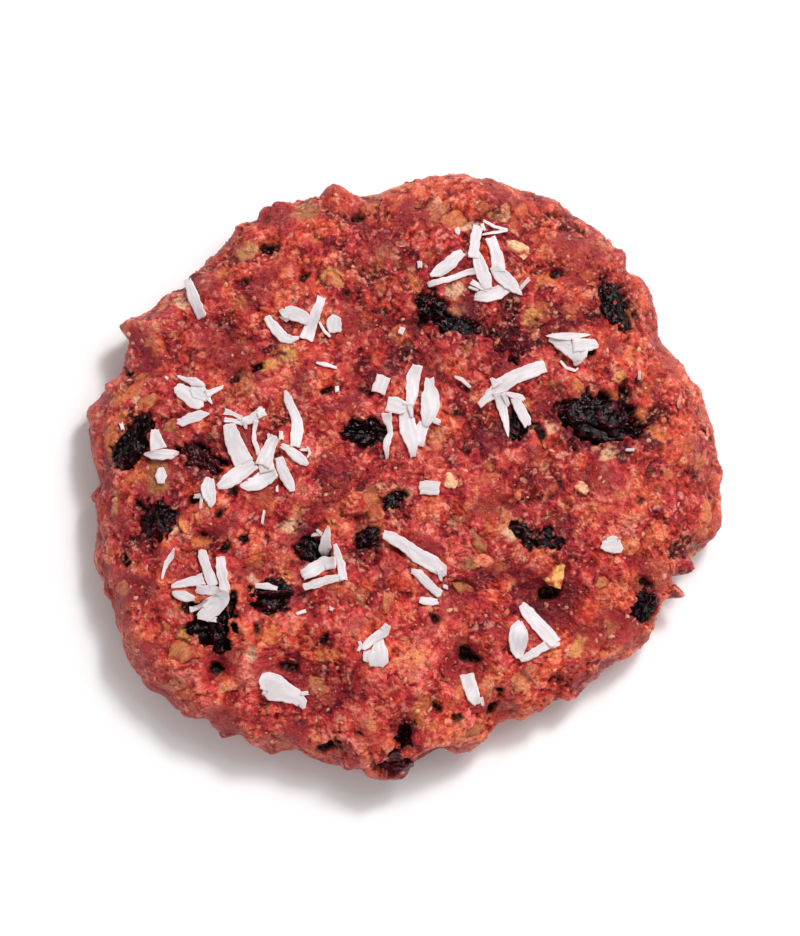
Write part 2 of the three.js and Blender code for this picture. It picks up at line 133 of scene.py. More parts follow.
def square_lamp(name, place, size, power):
    """An area lamp that faces the cookie."""
    data = bpy.data.lights.new(name, "AREA")
    data.size = size
    data.energy = power
    lamp = bpy.data.objects.new(name, data)
    bpy.context.collection.objects.link(lamp)
    lamp.location = place
    lamp.rotation_euler = place.to_track_quat("Z", "Y").to_euler()
    return lamp


bpy.ops.mesh.primitive_plane_add(size=FLOOR_SIZE)
floor = bpy.context.object
floor.name = "floor"
floor.data.materials.append(plain_material("pale_floor", FLOOR_COLOUR, FLOOR_ROUGHNESS))

key = square_lamp("key", KEY_FROM, KEY_SIZE, KEY_POWER)
key.visible_glossy = False
square_lamp("glint", GLINT_FROM, GLINT_SIZE, GLINT_POWER)

world = bpy.data.worlds.new("soft_room")
world.use_nodes = True
room = world.node_tree
facing = add_node(room, "TexCoord", {}).outputs["Generated"]
upward = add_node(room, "SeparateXYZ", {"Vector": facing}).outputs["Z"]
limits = {"Value": upward, "To Min": SKY_HORIZON, "To Max": SKY_OVERHEAD}
strength = add_node(room, "MapRange", limits).outputs["Result"]
sky = room.nodes["Background"]
sky.inputs["Color"].default_value = (*SKY_COLOUR, 1)
room.links.new(strength, sky.inputs["Strength"])
bpy.context.scene.world = world
world.cycles_visibility.glossy = False
bpy.context.scene.view_settings.view_transform = "Standard"
print("key light", round(KEY_FROM.length, 2), "m away")

# %% [markdown]
# ## The dough's large form
# A soft cookie is a low dome with a rounded shoulder and a foot that tucks in. Its plan is
# not a circle: the rim radius is read every ten degrees. A point on the skin is named by two
# numbers, the angle round the cookie and the way travelled along its side view, so the same
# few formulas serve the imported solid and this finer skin. All lengths here are millimetres.
# %% Rim and side view
CREST_HEIGHT = 12.6
WIDEST_HEIGHT = 5.0
FOOT_INSET = 2.6
SHOULDER_POWER = 6
TYPICAL_RADIUS = 40
SIDE_STEPS = 400
TAU = 2 * math.pi
RIM_RADII = np.array([
    42.1, 41.6, 40.5, 39.4, 41.2, 41.7, 42.1, 41.7, 41.2, 39.1, 38.6, 39.6,
    40.2, 39.3, 39.4, 41.7, 40.5, 42.9, 41.3, 41.8, 42.7, 43.6, 43.8, 42.3,
    40.9, 39.0, 39.6, 39.4, 36.8, 35.2, 36.0, 36.7, 37.5, 38.7, 38.9, 42.0,
])


def rim_radius(angle):
    """A smooth closed curve through the rim radii."""
    count = len(RIM_RADII)
    place = (angle / TAU) % 1 * count
    step = np.floor(place).astype(int)
    share = place - step
    before, start, end, after = (RIM_RADII[(step + shift) % count] for shift in (-1, 0, 1, 2))
    leaving = (end - before) / 2
    arriving = (after - start) / 2
    curve = 2 * (start - end) + leaving + arriving
    pull = 3 * (end - start) - 2 * leaving - arriving
    return ((curve * share + pull) * share + leaving) * share + start


steps = np.arange(SIDE_STEPS + 1) / SIDE_STEPS
top_share = 1 - (1 - steps) ** 2
rise = (CREST_HEIGHT - WIDEST_HEIGHT) * np.sqrt(1 - top_share ** SHOULDER_POWER)
tuck_turn = steps[1:] * math.pi / 2
side_share = np.concatenate([top_share, np.ones(SIDE_STEPS)])
side_inset = np.concatenate([np.zeros(SIDE_STEPS + 1), FOOT_INSET * (1 - np.cos(tuck_turn))])
side_height = np.concatenate([WIDEST_HEIGHT + rise, WIDEST_HEIGHT * (1 - np.sin(tuck_turn))])
side_reach = side_share * TYPICAL_RADIUS - side_inset
stretch = np.hypot(np.diff(side_reach), np.diff(side_height))
TRAVEL = np.concatenate([[0], np.cumsum(stretch)])
TRAVEL_TO_WIDEST = TRAVEL[SIDE_STEPS]
TRAVEL_TO_FOOT = TRAVEL[-1]


def smooth_dough(angle, travel):
    """Points and outward directions of the skin before its relief."""
    segment = np.clip(np.searchsorted(TRAVEL, travel), 1, len(TRAVEL) - 1)
    radius = rim_radius(angle) * np.interp(travel, TRAVEL, side_share)
    radius = radius - np.interp(travel, TRAVEL, side_inset)
    across = (side_reach[segment] - side_reach[segment - 1]) / stretch[segment - 1]
    down = (side_height[segment] - side_height[segment - 1]) / stretch[segment - 1]
    cos, sin = np.cos(angle), np.sin(angle)
    points = np.stack([radius * cos, radius * sin, np.interp(travel, TRAVEL, side_height)], -1)
    return points, np.stack([-down * cos, -down * sin, across], -1)


print("way over the side view:", round(float(TRAVEL_TO_FOOT), 1), "mm")

# %% [markdown]
# ## Lumps, crags and clods
# The hand-shaped top has broad thumb-sized lumps and hollows, the rim has tips and nicks, and
# the dough crowds together in round clods a few millimetres wide. A noise texture would look
# like clouds. Clods that meet in sharp creases look like dough, so each is a small cap and the
# skin takes the highest cap at every point.
# %% Broad relief
RIM_CRAGS = [
    (3, 6, 2.0, 0.5), (9.5, 6, 2.6, 0.7), (17.3, 6, 1.6, 0.9), (32.3, 6, 1.8, 0.8),
    (35, 5, 2.0, 0.6), (37, 6, 3.0, 0.6), (42.6, 5.5, 1.0, -1.0), (43.6, 5.5, 1.0, -1.6),
    (45.3, 7, 1.8, 1.5), (55, 7, 2.4, 0.9), (72.5, 7, 1.6, 0.6), (76.7, 7, 1.0, -0.9),
    (84.5, 7, 1.2, 0.7), (89, 7, 2.4, 1.0), (97.6, 8, 1.2, -1.3), (104, 7, 2.2, 2.0),
    (107, 7, 1.6, -0.9), (115.5, 7, 1.3, 0.8), (118.7, 6.5, 1.4, 0.9), (120, 6, 1.4, -1.6),
    (124.5, 7, 1.0, 0.6), (128, 7, 1.8, -0.8), (132, 7, 1.6, -0.7), (136.5, 7, 1.3, 1.0),
    (139.6, 6, 0.9, -0.9), (146, 6, 2.4, -1.0), (151.3, 6, 1.8, 0.9), (153.2, 7, 1.8, 1.8),
    (154.7, 6, 0.9, -1.8), (161, 7.5, 1.2, -0.5), (163.3, 7, 1.3, 0.9), (165.7, 7, 1.3, -0.9),
    (174.5, 6, 2.6, -0.7), (182, 6, 1.0, -0.7), (187, 6, 1.7, -0.9), (192, 6, 1.3, -1.0),
    (204.5, 6, 3.0, -1.3), (213, 5, 1.0, -0.5), (223, 5, 1.6, -0.8), (231, 5, 1.2, -1.0),
    (235.5, 5, 1.0, 0.7), (237.5, 5, 1.5, -1.3), (245, 4, 1.5, 0.8), (246, 5, 1.0, -0.8),
    (257, 8.5, 2.0, -0.8), (258, 5, 1.2, 0.7), (261.2, 5, 1.0, -0.8), (266, 5, 3.4, 1.1),
    (270, 5, 1.2, 0.5), (273.1, 4.5, 1.1, -2.2), (273.5, 2.5, 0.9, -1.3), (273.5, 8, 0.9, -1.6),
    (274.6, 4.5, 1.7, -2.7), (277.2, 4.5, 1.8, -2.8), (275.7, 4.5, 0.7, 0.7), (283, 5, 2.2, -0.9),
    (285, 5, 2.6, 1.1), (288, 5, 1.3, 0.7), (292, 5, 2.0, -0.4), (304.5, 5, 0.9, -0.7),
    (309, 5, 1.2, 0.7), (317, 5, 1.6, -1.4), (326, 5, 1.6, 0.8), (332.5, 5, 1.3, -0.7),
    (334.9, 5.5, 1.3, -1.3), (337.2, 6, 1.7, 2.4), (339.5, 4, 0.8, -2.6), (339.4, 8, 0.8, -2.6),
    (342.2, 6.5, 1.5, 1.6), (345.8, 6, 1.4, -1.3), (351.5, 6, 1.8, 0.7), (358.5, 6, 1.0, -0.5),
]  # degrees round the rim, height, spread, and how far it stands out
NICK_TALLNESS = 2.5  # how many times taller than wide a nick in the rim is
LUMPS = [
    (-24.5, 17.6, 4.5, -1.3), (-22.2, 13.6, 3.0, -0.8), (-7.0, 19.7, 3.6, -1.1),
    (-3.1, 30.5, 4.5, -0.9), (-18.4, 29.9, 2.6, -0.9), (-6.9, 35.3, 1.8, -1.6),
    (21.9, 21.0, 3.0, -1.0), (18.9, 9.9, 3.0, -0.9), (4.4, 2.8, 3.5, -0.9),
    (16.0, -4.3, 3.0, -0.7), (18.4, -16.6, 4.2, -2.2), (6.6, -17.6, 3.6, -1.2),
    (8.0, -25.3, 3.0, -3.0), (19.9, -27.6, 1.6, -1.0), (11.4, -31.5, 2.2, -1.2),
    (-0.3, -33.9, 2.0, -1.6), (-4.4, -29.7, 4.0, -0.7), (-11.9, -28.7, 4.5, -1.0),
    (-16.6, -25.8, 3.0, -1.0), (-2.3, -11.6, 3.0, -0.8), (-13.4, -10.1, 3.2, -1.2),
    (-25.5, -25.8, 2.2, -1.2), (-26.8, -8.3, 2.5, -0.9), (31.5, -14.4, 1.8, -1.5),
    (-20.9, 24.6, 5.0, 0.7), (-14.3, 31.1, 5.0, 0.6), (5.5, 35.1, 5.0, 0.5),
    (19.9, 29.2, 5.0, 0.5), (1.5, 25.2, 4.5, 0.5), (30.5, 9.4, 5.0, 0.7),
    (31.8, 0.2, 5.0, 0.7), (9.4, 0.2, 6.0, 0.5), (16.6, -12.0, 2.4, 1.1),
    (9.7, -22.2, 3.2, 0.8), (25.2, -23.5, 4.0, 0.5), (7.4, -34.7, 4.0, 0.9),
    (-7.7, -22.2, 4.5, 0.5), (-18.2, -22.2, 4.0, 0.7), (-10.3, -3.7, 6.0, 0.6),
    (-32.7, -11.6, 4.5, 0.6), (-28.8, -19.5, 4.0, 0.6), (-36.6, 10.1, 4.0, 0.8),
]  # x, y, spread, and height
CLOD_COUNT = 420
CLOD_RADII = (1.8, 4.2)
CLOD_HEIGHTS = (0.35, 1.15)
CLOD_MEAN = 0.45
RELIEF_FADE = 2.5


def draw(n, k):
    """A repeatable draw between 0 and 1 for piece n; k tells one piece's draws apart."""
    scrambled = np.sin(n * 12.9898 + k * 78.233) * 43758.5453
    return scrambled - np.floor(scrambled)


def between(limits, share):
    return limits[0] + (limits[1] - limits[0]) * share


def smoothstep(low, high, value):
    share = np.clip((value - low) / (high - low), 0, 1)
    return share * share * (3 - 2 * share)


clod_numbers = np.arange(CLOD_COUNT)
clod_points, _ = smooth_dough(
    TAU * draw(clod_numbers, 1), TRAVEL_TO_FOOT * np.sqrt(draw(clod_numbers, 2))
)
clod_radii = between(CLOD_RADII, draw(clod_numbers, 3))
clod_heights = between(CLOD_HEIGHTS, draw(clod_numbers, 4))


def broad_relief(points):
    """How far the dough stands out of its smooth form, and how much of that is hollow."""
    broad = np.zeros(len(points))
    for x, y, spread, height in LUMPS:
        distance = np.hypot(points[:, 0] - x, points[:, 1] - y) / spread
        broad += height * np.exp(-distance ** 2)
    for degrees, height, spread, out in RIM_CRAGS:
        angle = math.radians(degrees)
        radius = rim_radius(angle)
        crag = np.array([radius * math.cos(angle), radius * math.sin(angle), height])
        gap = (points - crag) / spread
        gap[:, 2] /= NICK_TALLNESS if out < 0 else 1
        distance = np.linalg.norm(gap, axis=1)
        broad += out * np.exp(-distance ** 2)
    clod = np.zeros(len(points))
    for middle, radius, height in zip(clod_points, clod_radii, clod_heights):
        square = ((points - middle) ** 2).sum(axis=1) / radius ** 2
        clod = np.maximum(clod, height * (1 - square))
    fade = smoothstep(0, RELIEF_FADE, points[:, 2])
    return (broad + clod - CLOD_MEAN) * fade, broad, clod


print("lumps:", len(LUMPS), "crags:", len(RIM_CRAGS), "clods:", CLOD_COUNT)

# %% [markdown]
# ## Places of the berries and nut chips
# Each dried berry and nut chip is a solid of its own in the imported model. Its place, axes and
# size are measured from that solid's corners: the middle, the directions in which it spreads
# most and least, and its reach along each. Nothing is typed in twice.
# %% Measure the pressed-in pieces


def measured(node):
    """Middle, axes (long, across, out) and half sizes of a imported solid, in millimetres."""
    mesh = node.data
    corners = np.empty(len(mesh.vertices) * 3)
    mesh.vertices.foreach_get("co", corners)
    corners = np.unique(corners.reshape(-1, 3).round(7), axis=0) / MM
    middle = (corners.min(axis=0) + corners.max(axis=0)) / 2
    _, axes = np.linalg.eigh(np.cov((corners - corners.mean(axis=0)).T))
    long, across, out = axes[:, 2], axes[:, 1], axes[:, 0]
    out = out * (1 if out[2] >= 0 else -1)
    across = np.cross(out, long)
    axes = np.stack([long, across, out])
    local = (corners - middle) @ axes.T
    middle = middle + ((local.min(axis=0) + local.max(axis=0)) / 2) @ axes
    half = (local.max(axis=0) - local.min(axis=0)) / 2
    return {"middle": middle, "axes": axes, "half": half}


def named(kind):
    return {name: measured(node) for name, node in sorted(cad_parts.items()) if kind in name}


berry_places = named("dried_berry")
nut_places = named("nut_chip")
SHIFT = np.array([OUTLINE_MIDDLE.x, OUTLINE_MIDDLE.y, 0])
print("berries:", len(berry_places), "nut chips:", len(nut_places))

# %% [markdown]
# ## The crumb
# Between the clods the real surface is a mash of moist fragments: oats, ground nuts and bits of
# berry, from half a millimetre to three millimetres across, pressed together with dark gaps.
# Voronoi cells give such a crowd. Each cell gets its own height and its own lean, which makes a
# broken fragment of it and not a pebble, and noise bends the grid so that no cell is regular.
# Three sizes are laid over each other. Some of the largest are oat flakes: flat, smooth and pale.
# %% Fine relief
CHUNK_SIZES = (2.3, 1.2, 0.66)
CHUNK_HEIGHTS = (0.46, 0.28, 0.15)
CHUNK_BEND = 0.75
CHUNK_EDGE = 0.22
GAP_DEPTH = 0.5
LEAN_STEEPNESS = 1.7
FLAKE_FROM = 0.83
FLAKE_CALM = 0.6
GRIT_SIZE = 0.42
GRIT_HEIGHT = 0.16
HALF = Vector((0.5, 0.5, 0.5))
NOISE_SEED = 7

noise.seed_set(NOISE_SEED)  # otherwise noise_vector takes its seed from the clock


def chunk(place, seed):
    """Height of the fragment at a place, how far inside its edge that is, and its own draws."""
    near, cells = noise.voronoi(place)
    own = noise.cell_vector(cells[0] * 7.31 + seed)
    lean = noise.cell_vector(cells[0] * 3.77 + seed) - HALF
    inside = min((near[1] - near[0]) / CHUNK_EDGE, 1)
    slope = (place - cells[0]).dot(lean) * LEAN_STEEPNESS
    plate = 0.35 + 0.55 * own.x + slope
    return plate * (1 - GAP_DEPTH * (1 - inside) ** 2), inside, own


def crumb_relief(points):
    """Height of the crumb at every point; for each size, how far inside and the draws."""
    heights = np.zeros(len(points))
    inside = np.zeros((len(CHUNK_SIZES), len(points)))
    draws = np.zeros((len(CHUNK_SIZES), len(points), 3))
    seeds = [Vector((n * 13.7, n * 5.3, n * 8.9)) for n in range(len(CHUNK_SIZES))]
    for i, point in enumerate(points):
        place = Vector(point)
        bent = place + CHUNK_BEND * noise.noise_vector(place * 0.8)
        bent += 0.35 * CHUNK_BEND * noise.noise_vector(place * 2.3)
        calm = 1.0
        for level, size in enumerate(CHUNK_SIZES):
            tall, inward, own = chunk(bent / size, seeds[level])
            heights[i] += CHUNK_HEIGHTS[level] * tall * calm
            inside[level, i] = inward
            draws[level, i] = own
            if level == 0 and own.z > FLAKE_FROM:
                calm = 1 - FLAKE_CALM * inward
        heights[i] += GRIT_HEIGHT * calm * noise.noise(place / GRIT_SIZE)
    return heights, inside, draws


# %% [markdown]
# ## One closed skin
# The skin is a set of rings from the middle of the top, over the shoulder, to the foot and
# under it. Each ring has six more points than the last, so the triangles stay even from the
# middle to the rim. A grid would crowd at the middle, and a remesh would lose the creases.
# %% Lay out the rings
TOP_RINGS = 186
POINTS_PER_RING = 6
RING_STEP = TRAVEL_TO_WIDEST / TOP_RINGS
SIDE_RINGS = round((TRAVEL_TO_FOOT - TRAVEL_TO_WIDEST) / RING_STEP)


def ring_layout():
    """The angle and the way travelled of every point, and the size of every ring."""
    counts = [n * POINTS_PER_RING for n in range(1, TOP_RINGS + 1)]
    travels = [n * RING_STEP for n in range(1, TOP_RINGS + 1)]
    for n in range(1, SIDE_RINGS + 1):
        counts.append(TOP_RINGS * POINTS_PER_RING)
        travels.append(TRAVEL_TO_WIDEST + (TRAVEL_TO_FOOT - TRAVEL_TO_WIDEST) * n / SIDE_RINGS)
    angle = np.concatenate([[0]] + [TAU * np.arange(c) / c for c in counts])
    travel = np.concatenate([[0]] + [np.full(c, t) for c, t in zip(counts, travels)])
    return angle, travel, counts


def stitched(counts):
    """Triangles between neighbouring rings, walking round both together."""
    faces = [(0, 1 + n, 1 + (n + 1) % counts[0]) for n in range(counts[0])]
    start = 1
    for inner, outer in zip(counts, counts[1:]):
        after = start + inner
        i = o = 0
        while i < inner or o < outer:
            if (o + 1) * inner <= (i + 1) * outer:
                faces.append((start + i % inner, after + o % outer, after + (o + 1) % outer))
                o += 1
            else:
                faces.append((start + i % inner, after + o % outer, start + (i + 1) % inner))
                i += 1
        start = after
    return faces


ring_angle, ring_travel, ring_counts = ring_layout()
skin_faces = stitched(ring_counts)
smooth_points, smooth_normals = smooth_dough(ring_angle, ring_travel)
print("skin:", len(smooth_points), "points", len(skin_faces), "faces")

# %% [markdown]
# ## Pits, clefts, and beds for the berries and nuts
# Dark pits a millimetre wide show between the crumbs: small air holes and torn spots. Longer
# clefts run where a berry's skin pulled away from the dough. All are places read off the photo.
# Where a berry or a nut chip lies, the skin sinks below the piece's waist. The bed's outline is
# ragged: here it leaves a dark gap round the piece, there the dough laps over the piece's rim.
# %% Pits and beds
PITS = [
    (-20.1, 13.8, 1.0), (-21.3, 25.1, 0.9), (-11.0, 10.7, 0.9), (3.4, -19.3, 0.9),
    (-11.1, -22.4, 0.8), (-20.1, -21.1, 0.9), (-24.7, -5.4, 0.8), (-26.8, -8.3, 0.8),
    (-23.9, -9.8, 0.9), (-21.6, -9.0, 1.0), (-37.0, -12.0, 0.8), (20.2, 26.8, 0.8),
    (4.1, -31.5, 0.9), (-10.5, -36.2, 1.0), (-9.0, -36.0, 1.0), (-16.6, -25.7, 0.8),
    (-15.2, -26.0, 0.8), (-6.5, -34.3, 0.9), (19.0, -15.8, 1.4), (32.0, -14.4, 0.9),
    (8.0, -24.1, 1.5), (19.6, -27.2, 0.7), (20.6, -27.9, 0.7), (24.5, 17.6, 0.8), (30.3, 12.2, 0.7),
    (17.7, 5.3, 0.9), (-4.4, -38.0, 0.6), (-23.3, -3.0, 0.7), (-36.8, 13.2, 0.9),
    (-18.4, 30.2, 1.1), (-13.6, 25.9, 0.8), (-8.2, 23.8, 0.8), (-7.2, 35.2, 1.1),
    (-22.7, 12.3, 0.9), (-28.1, -3.7, 0.9), (12.4, -28.9, 1.0), (-35.9, -4.3, 0.9),
    (20.1, -5.7, 0.6), (30.5, -3.7, 0.6), (27.4, -6.5, 0.6), (28.2, -7.3, 0.6), (19.4, -11.2, 0.6),
    (19.5, -12.2, 0.6), (6.6, -32.0, 0.7), (11.4, -31.4, 1.0), (-25.4, -23.5, 0.9),
    (-25.2, -26.0, 1.0), (10.3, 32.3, 0.6),
]  # x, y and radius
CLEFTS = [
    (28.4, 10.3, 3.8, 1.6, 80), (21.9, 3.2, 3.2, 1.1, -55), (29.4, 23.1, 2.1, 1.1, -25),
    (30.7, 21.8, 1.5, 1.0, -80), (26.1, 24.8, 1.8, 1.3, 70), (2.1, 21.8, 3.8, 1.6, 90),
    (4.0, 22.4, 2.6, 1.2, 0), (7.7, 18.9, 3.8, 1.1, -5), (-4.1, -8.6, 2.9, 0.9, 85),
    (-5.3, -9.8, 3.1, 1.0, 8), (-2.7, -5.8, 1.4, 0.8, 80), (-6.8, -6.0, 2.4, 0.8, 15),
    (-29.0, -18.3, 2.2, 1.8, 90), (-25.6, -23.2, 1.5, 1.0, 80), (-23.2, -17.3, 3.6, 1.1, 85),
    (-18.4, -15.1, 3.4, 1.1, 0), (-16.1, -18.5, 1.7, 1.0, 75), (18.9, -5.4, 3.0, 0.5, 35),
    (-0.4, -35.1, 3.6, 1.3, -54), (23.9, 16.7, 2.0, 1.2, -60), (-26.6, 1.0, 2.6, 1.0, 0),
]  # x, y, long, wide, and turn in degrees
PIT_OVAL = (1.9, 1.2)  # length and width of a pit, in its radii
PIT_DEPTH = 1.1
FULL_DEPTH_WIDTH = 1.3
PIT_HEIGHTS = (3, 5)  # no pits lower down on the flank
BERRY_BED = 0.35
BERRY_BED_REACH = 1.2
NUT_BED = 0.05
NUT_BED_REACH = 1.05
LAPPED_BERRIES = {
    "dried_berry_05": 0.15, "dried_berry_06": 0.4, "dried_berry_09": 0.2, "dried_berry_10": 0.25,
    "dried_berry_19": 0.15, "dried_berry_20": 0.3,
}  # how far the dough laps over them, in millimetres


def ragged(points, size, amount):
    """A noise value for every point, for edges that must not look cut."""
    return amount * np.array([noise.noise(Vector(point) / size) for point in points])


def cloud(points, size, seed):
    """Soft patches from 0 to 1 over the skin."""
    offset = Vector((seed * 17.3, seed * 5.1, seed * 9.7))
    return np.array([0.5 + 0.5 * noise.noise(Vector(point) / size + offset) for point in points])


def oval_edge(points, x, y, long, wide, degrees):
    """How far outside an oval every point lies, in millimetres; negative is inside."""
    turn = math.radians(degrees)
    along = (points[:, 0] - x) * math.cos(turn) + (points[:, 1] - y) * math.sin(turn)
    across = (points[:, 1] - y) * math.cos(turn) - (points[:, 0] - x) * math.sin(turn)
    return (np.hypot(along / long, across / wide) * 2 - 1) * wide / 2


def pit_relief(points, wobble):
    """How deep the pits and clefts are at every point, as a negative height."""
    deep = np.zeros(len(points))
    long, wide = PIT_OVAL
    ovals = [(x, y, long * r, wide * r, 360 * draw(n, 5)) for n, (x, y, r) in enumerate(PITS)]
    for x, y, long, wide, degrees in ovals + CLEFTS:
        edge = oval_edge(points, x, y, long, wide, degrees) + 0.8 * wobble
        depth = PIT_DEPTH * min(wide, FULL_DEPTH_WIDTH) / FULL_DEPTH_WIDTH
        deep = np.maximum(deep, depth * smoothstep(0.3, -0.4, edge))
    return -deep * smoothstep(*PIT_HEIGHTS, points[:, 2])


def bed_relief(points, place, level, reach, wobble):
    """Lowers the skin inside a piece's outline to a level, told in half depths from its waist."""
    local = (points - place["middle"]) @ place["axes"].T
    size = place["half"][:2].mean() * reach
    distance = np.hypot(local[:, 0] / place["half"][0], local[:, 1] / place["half"][1]) / reach
    inside = smoothstep(0.12, -0.18, (distance - 1) * size + wobble) * (np.abs(local[:, 2]) < 6)
    lowered = np.maximum(0, local[:, 2] + level * place["half"][2])
    return -lowered * inside, inside


print("pits:", len(PITS), "clefts:", len(CLEFTS))

# %% [markdown]
# ## Flecks
# Besides the chips that are pieces of their own, bits of oat and nut lie level with the dough
# and show only as coloured fields with ragged edges. A field in the paint gives that look. The
# skin is calmer inside it, as a cut face of an oat is.
# %% Places of the flecks
FLECKS = [
    (12.8, 34.7, 1.8, 1.5, 0, "cream"), (16.0, 20.9, 1.7, 1.2, 0, "gold"),
    (-14.9, -7.3, 2.4, 1.4, 0, "cream"), (-21.4, 29.4, 2.8, 1.8, 70, "tan"),
    (-24.7, 26.7, 2.1, 1.7, 0, "orange"), (-30.1, 22.6, 1.7, 1.3, 0, "cream"),
    (-18.4, 13.9, 2.8, 1.7, 20, "gold"), (-16.1, 15.2, 2.0, 1.6, 0, "gold"),
    (-13.2, 35.1, 3.0, 2.5, 30, "olive"), (-10.9, -24.1, 3.0, 1.4, 0, "orange"),
    (40.3, -4.8, 2.4, 1.8, 90, "orange"), (-32.9, -0.6, 4.6, 3.0, 80, "olive"),
    (-38.6, -4.5, 2.5, 1.1, 80, "tan"), (-27.2, -9.4, 2.3, 1.1, 0, "orange"),
    (-30.6, -8.1, 1.5, 1.2, -30, "cream"), (-39.0, 5.2, 2.7, 1.1, 75, "orange"),
    (18.1, 25.6, 2.6, 1.9, 30, "orange"), (5.9, 24.0, 2.4, 1.5, 15, "cream"),
    (0.6, 25.6, 2.8, 1.0, -60, "orange"), (27.6, 12.8, 1.9, 1.5, 60, "gold"),
    (31.2, 8.0, 2.0, 1.7, 0, "orange"), (32.8, 5.2, 2.4, 1.9, 0, "orange"),
    (26.5, 2.8, 2.0, 1.6, 80, "cream"), (18.9, 6.3, 1.5, 1.4, 0, "cream"),
    (13.5, -8.1, 1.8, 1.5, 40, "cream"), (-20.2, -14.3, 1.1, 1.5, 60, "cream"),
    (-20.4, -24.2, 1.2, 1.2, 0, "cream"), (-27.4, -16.8, 1.3, 1.5, 0, "orange"),
    (-3.1, -1.9, 1.0, 1.0, 0, "cream"), (0.1, -3.0, 1.7, 1.1, 0, "pink"),
    (-1.8, -6.4, 2.0, 0.9, 80, "tan"), (-6.6, -8.5, 1.4, 1.2, 0, "orange"),
    (1.6, -31.8, 3.0, 1.6, 70, "orange"), (3.7, -33.0, 2.3, 1.7, 20, "orange"),
    (-9.9, 26.0, 2.6, 2.1, 20, "gold"), (-35.4, 9.3, 1.4, 1.2, 0, "cream"),
    (9.0, -12.2, 3.4, 2.0, 10, "olive"), (28.6, 3.0, 4.4, 1.3, 84, "plum"),
    (32.3, 4.6, 3.0, 1.5, -48, "plum"), (7.6, 32.9, 1.9, 1.4, 20, "cream"),
    (-29.3, -22.2, 2.2, 1.3, -70, "gold"), (22.2, -22.8, 2.2, 1.2, 40, "gold"),
    (-38.2, 4.4, 6.0, 1.6, 80, "orange"), (-36.8, 10.5, 4.5, 2.0, 30, "orange"),
    (-36.0, -0.8, 3.0, 1.6, 10, "orange"),
]  # x, y, long, wide, turn in degrees, and kind


def fleck_fields(points, wobble):
    """How much of a fleck every point has, and which row of the table it is."""
    shares = np.zeros(len(points))
    rows = np.zeros(len(points), dtype=int)
    for row, (x, y, long, wide, degrees, _) in enumerate(FLECKS):
        edge = oval_edge(points, x, y, long, wide, degrees) + 1.0 * wobble
        share = smoothstep(0.3, -0.2, edge) * smoothstep(1, 3, points[:, 2])
        rows[share > shares] = row
        shares = np.maximum(shares, share)
    return shares, rows


print("flecks:", len(FLECKS))

# %% [markdown]
# ## Shape the skin
# All the reliefs are added along the outward direction. The crumb is flatter on the smooth flanks,
# where the dough stayed wet and in the hollows, as in the photo, and it fades out at the foot. The
# beds come last, so that no crumb stands in a hollow that a berry fills.
# %% Displace the skin
FLANK_SMOOTHING = 0.5
FLANK_HEIGHTS = (10.5, 7.5)  # above the first the top, below the second the flank
WET_CLOUDS = 4.5  # millimetres from one wet patch to the next
WET_CALM = 0.45

surface = smooth_points + SHIFT
large, broad, clod = broad_relief(smooth_points)
fade = smoothstep(0, RELIEF_FADE, smooth_points[:, 2])
body = surface + smooth_normals * large[:, None]
crumb, inside_chunk, chunk_draws = crumb_relief(body)
east, north = smooth_points[:, 0], smooth_points[:, 1]
leftness = smoothstep(8, 38, -(east + 0.6 * north))
rightness = smoothstep(8, 38, east + 0.9 * north)
low = smoothstep(*FLANK_HEIGHTS, smooth_points[:, 2])
calm = 1 - FLANK_SMOOTHING * low * np.maximum(leftness, 0.7 * rightness)
# Wet patches at random, plus the hollows; in the hollows the purple paint of this mask is painted
# shade.
wet_and_hollow_shade = smoothstep(0.56, 0.7, cloud(body, WET_CLOUDS, 6)) + 0.9 * smoothstep(0.2, 1.2, -broad)
wet_and_hollow_shade = np.minimum(wet_and_hollow_shade, 1)
calm *= 1 - WET_CALM * wet_and_hollow_shade
crumb_out = (crumb - crumb.mean()) * calm * (0.25 + 0.75 * fade)
wobble = ragged(body, 1.7, 0.8) + ragged(body, 0.6, 0.4)
pits = pit_relief(smooth_points, wobble)
flecks, fleck_rows = fleck_fields(smooth_points, wobble)
crumb_out *= 1 - 0.5 * flecks
skin = body + smooth_normals * (crumb_out + pits)[:, None]
berry_bed = np.zeros(len(skin))
nut_bed = np.zeros(len(skin))
for name, place in berry_places.items():
    lap = LAPPED_BERRIES.get(name, 0)
    sink, inside = bed_relief(skin, place, BERRY_BED, BERRY_BED_REACH, (2.2 + lap) * wobble + lap)
    skin += smooth_normals * sink[:, None]
    berry_bed = np.maximum(berry_bed, inside)
for place in nut_places.values():
    sink, inside = bed_relief(skin, place, NUT_BED, NUT_BED_REACH, 0.8 * wobble)
    skin += smooth_normals * sink[:, None]
    nut_bed = np.maximum(nut_bed, inside)
skin[:, 2] = np.maximum(skin[:, 2], 0)
print("skin height:", skin[:, 2].min().round(2), skin[:, 2].max().round(2))

# %% [markdown]
# ## Colour of the dough
# Baked berry dough is crimson and orange-red, and purple in wet patches. Its gaps, creases and
# hollows are painted darker as shade, the hollows purple, and its high crumbs brighter as painted
# light. A tone from 0, dark, to 1, bright, picks the colour from a red or an orange scale of five
# colours. They are painted on the corners: there a colour can follow the form and every fragment,
# and a plain noise texture knows neither.
# %% Colours of the dough


def colour(red, green, blue):
    """A colour given as it looks on screen, 0 to 255, turned into light."""
    value = np.array([red, green, blue]) / 255
    return np.where(value <= 0.04045, value / 12.92, ((value + 0.055) / 1.055) ** 2.4)


def colours(*stops):
    return [colour(*stop) for stop in stops]


